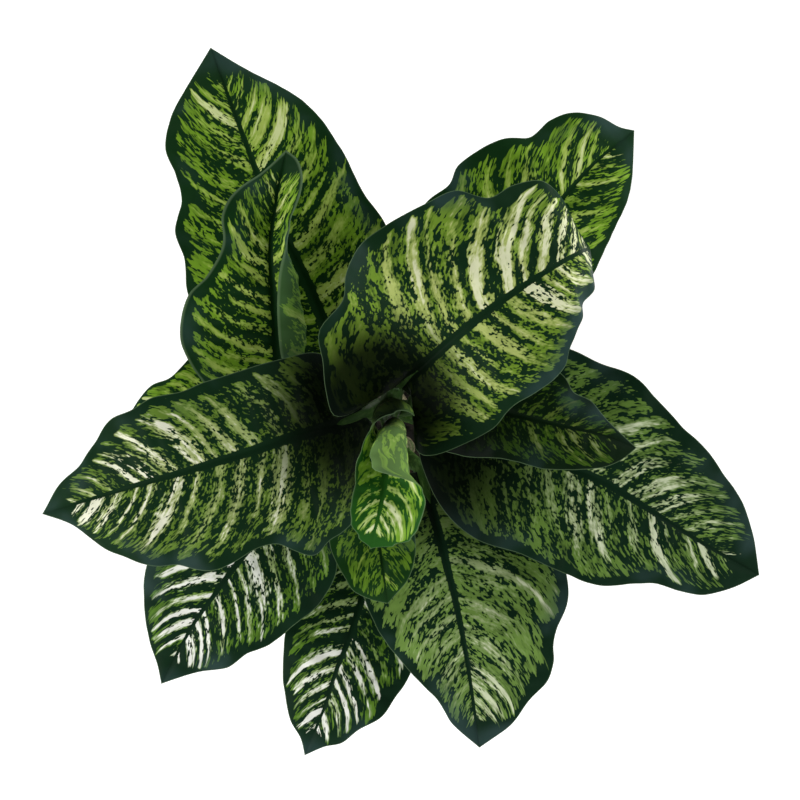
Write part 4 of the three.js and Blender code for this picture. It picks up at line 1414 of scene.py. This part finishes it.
def scatter_tree():
    """Scatters lumpy grains of three shapes over a surface."""
    tree, given, result = geometry_tree(
        "Grain Scatter",
        [
            ("Density", "Float", 20000.0),
            ("Smallest", "Float", 0.001),
            ("Largest", "Float", 0.003),
            ("Flatness", "Float", 0.6),
            ("Seed", "Int", 1),
            ("Material", "Material"),
        ],
    )
    spread = tree.node(
        "GeometryNodeDistributePointsOnFaces",
        {"Mesh": given["Geometry"], "Density": given["Density"], "Seed": given["Seed"]},
        distribute_method="RANDOM",
    )
    shapes = tree.node("GeometryNodeJoinGeometry")
    for variant in range(3):
        ball = tree.node("GeometryNodeMeshIcoSphere", {"Radius": 1.0, "Subdivisions": 2}).outputs["Mesh"]
        spot = tree.node("GeometryNodeInputPosition").outputs[0]
        moved = tree.vector_math("ADD", spot, (7.0 * variant, 3.0, 1.0))
        shaped = shifted(tree, ball, moved, 1.1, 1.0, 2.2)
        tree.set(shapes, 0, tree.node("GeometryNodeGeometryToInstance", {0: shaped}).outputs[0])
    size = random_value(tree, "FLOAT", given["Smallest"], given["Largest"], given["Seed"])
    height = tree.math("MULTIPLY", size, given["Flatness"])
    placed = tree.node(
        "GeometryNodeInstanceOnPoints",
        {
            "Points": spread.outputs["Points"],
            "Instance": shapes.outputs[0],
            "Pick Instance": True,
            "Instance Index": random_value(tree, "INT", 0, 2, given["Seed"]),
            "Rotation": random_value(tree, "FLOAT_VECTOR", *GRAIN_TURNS, given["Seed"]),
            "Scale": tree.vector(size, tree.math("MULTIPLY", size, 0.7), height),
        },
    )
    real = tree.node("GeometryNodeRealizeInstances", {0: placed.outputs[0]}).outputs[0]
    painted = tree.node("GeometryNodeSetMaterial", {"Geometry": real, "Material": given["Material"]})
    tree.set(result, 0, painted.outputs[0])
    return tree.tree


def scar_tree():
    """Sets an uneven ring round the cane at each point, turned along the point's heading."""
    tree, given, result = geometry_tree(
        "Leaf Scars",
        [("Thickness", "Float", 0.09), ("Unevenness", "Float", 0.0006), ("Material", "Material")],
    )
    hoop, section = (
        tree.node("GeometryNodeCurvePrimitiveCircle", {"Resolution": sides, "Radius": radius}, mode="RADIUS")
        for sides, radius in ((40, 1.0), (8, given["Thickness"]))
    )
    curves = {"Curve": hoop.outputs[0], "Profile Curve": section.outputs[0]}
    ahead = tree.node("GeometryNodeInputNamedAttribute", {"Name": "heading"}, data_type="FLOAT_VECTOR")
    radius = tree.node("GeometryNodeInputNamedAttribute", {"Name": "ring"}, data_type="FLOAT")
    turn = tree.node("FunctionNodeAlignRotationToVector", {"Vector": ahead.outputs[0]}, axis="Z")
    placed = tree.node(
        "GeometryNodeInstanceOnPoints",
        {
            "Points": given["Geometry"],
            "Instance": tree.node("GeometryNodeCurveToMesh", curves).outputs[0],
            "Rotation": turn.outputs[0],
            "Scale": radius.outputs[0],
        },
    )
    real = tree.node("GeometryNodeRealizeInstances", {0: placed.outputs[0]}).outputs[0]
    spot = tree.node("GeometryNodeInputPosition").outputs[0]
    uneven = shifted(tree, real, spot, 160.0, 2.0, tree.math("MULTIPLY", given["Unevenness"], 4.0))
    smooth = tree.node("GeometryNodeSetShadeSmooth", {0: uneven}).outputs[0]
    painted = tree.node("GeometryNodeSetMaterial", {"Geometry": smooth, "Material": given["Material"]})
    tree.set(result, 0, painted.outputs[0])
    return tree.tree


# ---- Settings ----


class LeafSettings(bpy.types.PropertyGroup):
    """The fine form of the blades."""

    blade_thickness: bpy.props.FloatProperty(
        name="Blade Thickness", description="How thick a blade is between its veins",
        default=0.0006, min=0.0003, max=0.002, precision=4, unit="LENGTH",
    )
    vein_spacing: bpy.props.FloatProperty(
        name="Vein Spacing", description="Distance between side veins along the midrib",
        default=0.013, min=0.004, max=0.04, precision=3, unit="LENGTH",
    )
    vein_relief: bpy.props.FloatProperty(
        name="Vein Relief", description="How deep the blade is quilted between its side veins",
        default=0.0005, min=0.0, max=0.003, precision=4, unit="LENGTH",
    )
    crinkle: bpy.props.FloatProperty(
        name="Crinkle", description="How far the margin waves up and down in short waves",
        default=0.0012, min=0.0, max=0.005, precision=4, unit="LENGTH",
    )
    ripple: bpy.props.FloatProperty(
        name="Ripple", description="How far the blade swells and dips between midrib and margin",
        default=0.0012, min=0.0, max=0.005, precision=4, unit="LENGTH",
    )


class CaneSettings(bpy.types.PropertyGroup):
    """The canes and their ring scars."""

    scar_thickness: bpy.props.FloatProperty(
        name="Scar Thickness", description="How thick a scar ring is, as a share of the cane's radius",
        default=0.085, min=0.02, max=0.3, subtype="FACTOR",
    )
    lean_noise: bpy.props.FloatProperty(
        name="Unevenness", description="How uneven the canes and their scars are",
        default=0.0005, min=0.0, max=0.003, precision=4, unit="LENGTH",
    )
    bark_color: bpy.props.FloatVectorProperty(
        name="Bark Color", description="The lighter colour of the cane's skin",
        default=(0.17, 0.21, 0.075), min=0, max=1, subtype="COLOR",
    )
    scar_color: bpy.props.FloatVectorProperty(
        name="Scar Color", description="The lighter colour of the scar rings",
        default=(0.27, 0.22, 0.13), min=0, max=1, subtype="COLOR",
    )


class PotSettings(bpy.types.PropertyGroup):
    """The clay pot."""

    edge_radius: bpy.props.FloatProperty(
        name="Edge Radius", description="How round the pot's edges are",
        default=0.003, min=0.0005, max=0.006, precision=4, unit="LENGTH",
    )
    clay_color: bpy.props.FloatVectorProperty(
        name="Clay Color", description="The fired clay's colour",
        default=(0.47, 0.18, 0.085), min=0, max=1, subtype="COLOR",
    )
    bloom_color: bpy.props.FloatVectorProperty(
        name="Bloom Color", description="The chalky bloom's colour",
        default=(0.62, 0.5, 0.42), min=0, max=1, subtype="COLOR",
    )


class SoilSettings(bpy.types.PropertyGroup):
    """The potting soil."""

    roughness: bpy.props.FloatProperty(
        name="Lumps", description="How high the soil's small lumps are",
        default=0.0016, min=0.0, max=0.006, precision=4, unit="LENGTH",
    )
    crumbs: bpy.props.FloatProperty(
        name="Crumbs", description="Bark crumbs on each square metre of soil",
        default=52000, min=0, max=200000,
    )
    perlite: bpy.props.FloatProperty(
        name="Perlite", description="White perlite grains on each square metre of soil",
        default=5200, min=0, max=50000,
    )
    seed: bpy.props.IntProperty(name="Seed", description="Changes how the crumbs lie", default=7, min=0)


class StageSettings(bpy.types.PropertyGroup):
    """The floor, the lights and the camera."""

    floor_color: bpy.props.FloatVectorProperty(
        name="Floor Color", description="The floor's colour",
        default=(0.9, 0.9, 0.9), min=0, max=1, subtype="COLOR",
    )
    frame_width: bpy.props.FloatProperty(
        name="Frame Width", description="Width of the view at the height of the leaves",
        default=0.6, min=0.1, max=5, unit="LENGTH",
    )
    lens: bpy.props.FloatProperty(
        name="Lens", description="Focal length of the camera in millimetres",
        default=1500, min=50, max=1600,
    )
    key_power: bpy.props.FloatProperty(
        name="Key Light", description="Power of the large soft light",
        default=38, min=0, max=1000, unit="POWER",
    )
    fill_power: bpy.props.FloatProperty(
        name="Fill Light", description="Power of the light opposite the key light",
        default=19, min=0, max=1000, unit="POWER",
    )
    sky: bpy.props.FloatProperty(
        name="Surroundings", description="Brightness of the white surroundings",
        default=1.3, min=0, max=5, subtype="FACTOR",
    )


# ---- Operators ----


def aim(obj, target):
    """Turns a light or camera towards a point."""
    obj.rotation_euler = (Vector(target) - obj.location).to_track_quat("-Z", "Y").to_euler()


def add_area_light(name, place, target, size, power, colour):
    """Adds a square soft light."""
    data = bpy.data.lights.new(name, "AREA")
    data.shape = "SQUARE"
    data.size = size
    data.energy = power
    data.color = colour
    light = link(bpy.data.objects.new(name, data))
    light.location = place
    aim(light, target)
    return light


def add_camera(scene, settings):
    """Sets the camera straight above the plant."""
    data = bpy.data.cameras.new("camera_above")
    data.sensor_width = 36
    data.lens = settings.lens
    distance = settings.frame_width * settings.lens / data.sensor_width
    data.clip_start = 0.1
    data.clip_end = distance * 1.2
    camera = link(bpy.data.objects.new("camera_above", data))
    camera.location = (0, 0, LEAF_LEVEL * MM + distance)
    scene.camera = camera


def set_surroundings(scene, brightness):
    """Makes the surroundings white near the horizon and dark above, and shows colours without a film look."""
    world = scene.world or bpy.data.worlds.new("surroundings")
    scene.world = world
    world.use_nodes = True
    sky = Tree(world.node_tree)
    up = sky.split(sky.node("ShaderNodeTexCoord").outputs["Generated"])[2]
    background = world.node_tree.nodes["Background"]
    sky.set(background, "Color", sky.mix(sky.smooth(up, 0.25, 0.9), SKY_EDGE, SKY_TOP))
    background.inputs["Strength"].default_value = brightness
    scene.view_settings.view_transform = "Standard"


def floor_material(colour):
    """A pale floor with a faint cloud in it, which glows a little."""
    material, tree, shader = new_material("pale_floor")
    cloud = tree.noise(tree.object_place(), 9.0, 3.0, 0.5)
    paler = rgba(blend_colours(colour, (1, 1, 1), 0.3))
    for name in ("Base Color", "Emission Color"):
        tree.set(shader, name, tree.mix(cloud, rgba(colour), paler))
    shader.inputs["Emission Strength"].default_value = FLOOR_GLOW
    shader.inputs["Roughness"].default_value = 0.9
    return material


class PLANT_OT_stage(bpy.types.Operator):
    """Sets the camera above the plant, the soft lights and the pale floor"""

    bl_idname = "plant.stage"
    bl_label = "Set Stage"

    def execute(self, context):
        settings = context.scene.plant_stage
        add_camera(context.scene, settings)
        centre = (0, 0, LEAF_LEVEL * MM)
        add_area_light("key_light", (-2.2, -1.4, 1.7), centre, 1.6, settings.key_power, (1.0, 0.99, 0.96))
        add_area_light("fill_light", (2.2, 0.5, 1.5), centre, 1.6, settings.fill_power, (0.97, 0.98, 1.0))
        set_surroundings(context.scene, settings.sky)
        build = MeshBuild()
        corners = [(-1, -1, 0), (1, -1, 0), (1, 1, 0), (-1, 1, 0)]
        build.add_points(np.array(corners, float) * FLOOR_SIZE / 2 - (0, 0, FLOOR_GAP))
        build.add_faces([[0, 1, 2, 3]])
        build.finish("floor", [floor_material(settings.floor_color)])
        return {"FINISHED"}


def pot_radius(height):
    """The pot's outer radius below its rim band."""
    return POT_BASE_RADIUS + (POT_RIM_RADIUS - POT_RIM_STEP - POT_BASE_RADIUS) * height / POT_HEIGHT


def finely_spaced(profile, step):
    """A profile with points added along its long straight runs."""
    points = [profile[0]]
    for a, b in zip(profile, profile[1:]):
        count = max(1, round(np.linalg.norm(b - a) / step))
        points += [a + (b - a) * k / count for k in range(1, count + 1)]
    return np.array(points)


def pot_profile(edge_radius):
    """The pot's outline, from the middle of its underside over the rim to the middle of its floor."""
    body_top = POT_HEIGHT - POT_RIM_HEIGHT
    corners = [
        (0, 0),
        (POT_BASE_RADIUS, 0),
        (pot_radius(body_top), body_top),
        (POT_RIM_RADIUS - POT_RIM_TAPER, body_top),
        (POT_RIM_RADIUS, POT_HEIGHT),
        (pot_radius(POT_HEIGHT) - POT_WALL, POT_HEIGHT),
        (pot_radius(POT_FLOOR) - POT_WALL, POT_FLOOR),
        (0, POT_FLOOR),
    ]
    return finely_spaced(rounded_corners(corners, edge_radius), POT_STEP)


def drain_cutters():
    """Upright cylinders where the drain holes go."""
    cutters = MeshBuild()
    cylinder = circles([POT_DRAIN_RADIUS] * 2, (-POT_FLOOR, 2 * POT_FLOOR), POT_DRAIN_SIDES)
    for k in range(POT_DRAINS):
        angle = (k + 0.5) * 2 * math.pi / POT_DRAINS
        centre = POT_DRAIN_CIRCLE * np.array([math.cos(angle), math.sin(angle), 0.0])
        add_tube(cutters, centre + cylinder)
    return cutters.finish("drains", [])


class PLANT_OT_pot(bpy.types.Operator):
    """Turns the clay pot and cuts its drain holes"""

    bl_idname = "plant.pot"
    bl_label = "Make Pot"

    def execute(self, context):
        settings = context.scene.plant_pot
        build = MeshBuild()
        profile = pot_profile(settings.edge_radius / MM)
        add_skin(build, circles(*profile.T, POT_SIDES))
        pot = build.finish("pot_body", [clay_material(settings)], 60)
        drains = drain_cutters()
        cut = pot.modifiers.new("Drains", "BOOLEAN")
        cut.operation = "DIFFERENCE"
        cut.object = drains
        cut.solver = "EXACT"
        context.view_layer.update()
        made = bpy.data.meshes.new_from_object(pot.evaluated_get(context.evaluated_depsgraph_get()))
        pot.modifiers.clear()
        pot.data = made
        bpy.data.objects.remove(drains)
        if len(made.vertices) < POT_SIDES * 10:
            raise RuntimeError("the pot was lost as its drain holes were cut")
        settle(pot, "terracotta", "pot")
        return {"FINISHED"}


def soil_radius(height):
    """The soil's radius, just inside the pot's wall."""
    return pot_radius(height) - POT_WALL - SOIL_GAP


def soil_surface(lump_height):
    """Rings of points over the soil's lumpy mound, from its middle outwards."""
    edge = soil_radius(SOIL_TOP)
    radius = edge * np.linspace(0, 1, SOIL_RINGS + 1)[:, None]
    turn = full_turn(SOIL_SIDES)
    x, y = radius * np.cos(turn), radius * np.sin(turn)
    lumps = sine_noise(41, x / 5, y / 5) + 0.6 * sine_noise(42, x / 2.2, y / 2.2)
    lumps = lumps + 0.8 * sine_noise(43, x / 11, y / 9)
    heaped = sum(
        SOIL_HEAP * np.exp(-(((x - foot[0]) ** 2 + (y - foot[1]) ** 2) / SOIL_HEAP_REACH**2))
        for foot in CANE_FEET
    )
    share = radius / edge
    height = SOIL_TOP + SOIL_MOUND * (1 - share**2) - SOIL_SINK + heaped
    height = height + lump_height * lumps * (1 - 0.5 * share)
    height = np.where(radius == 0, height[0, 0], height)
    return np.stack([x, y, height], axis=2)


def soil_bed(top):
    """The soil under its surface, down to the pot's floor."""
    bottom = POT_FLOOR + SOIL_GAP
    foot = soil_radius(bottom)
    radii = (soil_radius(SOIL_TOP), foot, foot * 0.5, 0)
    heights = (SOIL_TOP - SOIL_SHOULDER, bottom, bottom, bottom)
    below = circles(radii, heights, SOIL_SIDES)
    build = MeshBuild()
    add_skin(build, np.concatenate([top, below]), order=INWARDS)
    crumbly = soil_material("damp_soil", (0.008, 0.006, 0.004), (0.04, 0.025, 0.015), 160.0)
    return build.finish("soil_bed", [crumbly], 180)


class PLANT_OT_soil(bpy.types.Operator):
    """Fills the pot with soil and scatters bark crumbs and perlite on it"""

    bl_idname = "plant.soil"
    bl_label = "Make Soil"

    def execute(self, context):
        settings = context.scene.plant_soil
        top = soil_surface(settings.roughness / MM)
        settle(soil_bed(top), "potting_soil", "soil")
        surface = MeshBuild()
        add_skin(surface, top[:-1], order=INWARDS)
        scatter = scatter_tree()
        bark = soil_material("bark_crumb", (0.02, 0.012, 0.007), (0.1, 0.055, 0.03), 420.0)
        white = soil_material("perlite_grain", (0.3, 0.28, 0.24), (0.6, 0.58, 0.54), 900.0)
        for number, (name, density, smallest, largest, flatness, material) in enumerate((
            ("soil_crumbs", settings.crumbs, 0.0007, 0.0022, 0.45, bark),
            ("soil_chips", settings.crumbs * 0.05, 0.003, 0.0062, 0.32, bark),
            ("soil_perlite", settings.perlite, 0.0008, 0.0018, 0.85, white),
        )):
            grains = surface.finish(name, [])
            inputs = {"Density": density, "Smallest": smallest, "Largest": largest, "Flatness": flatness}
            bake_nodes(grains, scatter, {**inputs, "Seed": settings.seed + number, "Material": material})
            settle(grains, "potting_soil")
        return {"FINISHED"}


def cane_tube(cane, path, unevenness, seed):
    """Rings of points round a cane, which swells at its leaf scars and ends in a dome."""
    share = np.linspace(0, 1, CANE_RINGS + 1)[:, None]
    turn = full_turn(CANE_SIDES)
    height = path[:, 2][:, None]
    near = np.min([np.abs(height - scar) for scar in cane.scars], axis=0)
    radius = cane.foot + (cane.top - cane.foot) * share
    radius = radius + CANE_SCAR_SWELL * np.exp(-((near / CANE_SCAR_REACH) ** 2))
    radius = radius + unevenness * sine_noise(seed, height / 4 + 0 * turn, np.sin(turn) * 2)
    radius = radius * np.sqrt(np.clip((1 - share) * 30, 0, 1))
    ahead = heading(path, share[:, 0])
    side = unit(np.cross(ahead, (0.0, 1.0, 0.0)))
    over = np.cross(ahead, side)
    return (
        path[:, None]
        + (radius * np.cos(turn))[..., None] * side[:, None]
        + (radius * np.sin(turn))[..., None] * over[:, None]
    )


def scar_points(name, cane, path):
    """A point at each leaf scar of a cane, with the radius and heading of its ring."""
    share = cane_share(cane, np.array(cane.scars))
    mesh = bpy.data.meshes.new(name)
    mesh.from_pydata((at_share(path, share) * MM).tolist(), [], [])
    radius = (cane.foot + (cane.top - cane.foot) * share + CANE_SCAR_STAND) * MM
    mesh.attributes.new("ring", "FLOAT", "POINT").data.foreach_set("value", radius)
    turn = 2.4 * np.arange(len(share))
    tilt = np.column_stack([np.cos(turn), np.sin(turn), 0 * turn])
    leaning = heading(path, share) + CANE_SCAR_TILT * tilt
    mesh.attributes.new("heading", "FLOAT_VECTOR", "POINT").data.foreach_set("vector", leaning.ravel())
    return link(bpy.data.objects.new(name, mesh))


class PLANT_OT_canes(bpy.types.Operator):
    """Makes the canes, with a ring where each old leaf stood"""

    bl_idname = "plant.canes"
    bl_label = "Make Canes"

    def execute(self, context):
        settings = context.scene.plant_canes
        skin = cane_material("cane_skin", (0.05, 0.07, 0.02), settings.bark_color)
        cork = cane_material("cane_scar", (0.14, 0.12, 0.06), settings.scar_color)
        scars = scar_tree()
        inputs = {"Thickness": settings.scar_thickness, "Unevenness": settings.lean_noise, "Material": cork}
        for seed, (name, cane) in enumerate(CANES.items(), start=60):
            path = smooth_line(cane.line, CANE_RINGS)
            build = MeshBuild()
            add_tube(build, cane_tube(cane, path, settings.lean_noise / MM, seed))
            settle(build.finish(f"{name}_stem", [skin]), "cane_bark", name)
            rings = scar_points(f"{name}_scars", cane, path)
            bake_nodes(rings, scars, inputs)
            settle(rings, "cane_bark")
        return {"FINISHED"}


def leaf_piece(name, leaf, seed, half, stalk, settings):
    """Makes one leaf, blade and stalk, in place of the plain solid of its name. half makes one side of its
    blade."""
    share = stations()
    rib = smooth_line(leaf.rib)
    grid = blade_grid(*(half(leaf, side, rib, share) for side in (0, 1)))
    rib_length = lengths(rib)[-1]
    places = leaf_places(grid, rib_length, share)
    build = MeshBuild()
    blade_mesh(build, grid, places, seed, settings)
    stalk_mesh(build, leaf, rib)
    top, under = leaf_materials(name, leaf, seed * SEED_STEP, rib_length * MM)
    piece = build.finish(f"{name}_fine", [top, under, stalk])
    return settle(piece, "variegated_leaf", name)


class PLANT_OT_leaves(bpy.types.Operator):
    """Makes the twelve open leaves"""

    bl_idname = "plant.leaves"
    bl_label = "Make Open Leaves"

    def execute(self, context):
        stalk = stalk_material()
        for seed, (name, leaf) in enumerate(LEAVES.items(), start=1):
            leaf_piece(name, leaf, seed, half_blade, stalk, context.scene.plant_leaves)
        return {"FINISHED"}


class PLANT_OT_unfurling(bpy.types.Operator):
    """Makes the youngest leaf, still rolled at its base"""

    bl_idname = "plant.unfurling"
    bl_label = "Make Youngest Leaf"

    def execute(self, context):
        stalk = bpy.data.materials["stalk_green"]
        settings = context.scene.plant_leaves
        leaf_piece("leaf_unfurling", UNFURLING, UNFURLING_SEED, rolled_half, stalk, settings)
        return {"FINISHED"}


# ---- Panel and registration ----

SETTINGS = {
    "plant_stage": StageSettings,
    "plant_pot": PotSettings,
    "plant_soil": SoilSettings,
    "plant_canes": CaneSettings,
    "plant_leaves": LeafSettings,
}
OPERATORS = (
    PLANT_OT_stage,
    PLANT_OT_pot,
    PLANT_OT_soil,
    PLANT_OT_canes,
    PLANT_OT_leaves,
    PLANT_OT_unfurling,
)


class PLANT_PT_panel(bpy.types.Panel):
    """Lists the plant's settings and the steps that build it"""

    bl_idname = "PLANT_PT_panel"
    bl_label = "Potted Dieffenbachia"
    bl_space_type = "VIEW_3D"
    bl_region_type = "UI"
    bl_category = "Dieffenbachia"

    def draw(self, context):
        for name, group in SETTINGS.items():
            box = self.layout.box()
            settings = getattr(context.scene, name)
            for label in group.__annotations__:
                box.prop(settings, label)
        for operator in OPERATORS:
            self.layout.operator(operator.bl_idname)


def register():
    """Registers the classes and puts the settings on the scene."""
    for cls in (*SETTINGS.values(), *OPERATORS, PLANT_PT_panel):
        bpy.utils.register_class(cls)
    for name, group in SETTINGS.items():
        setattr(bpy.types.Scene, name, bpy.props.PointerProperty(type=group))


def unregister():
    """Takes away what register adds."""
    for name in SETTINGS:
        delattr(bpy.types.Scene, name)
    for cls in (PLANT_PT_panel, *reversed(OPERATORS), *SETTINGS.values()):
        bpy.utils.unregister_class(cls)


def main():
    """Builds the plant step by step."""
    register()
    leaf_marking_group()
    grain_group()
    bpy.ops.plant.stage()
    bpy.ops.plant.pot()
    bpy.ops.plant.soil()
    bpy.ops.plant.canes()
    bpy.ops.plant.leaves()
    bpy.ops.plant.unfurling()


if __name__ == "__main__":
    main()
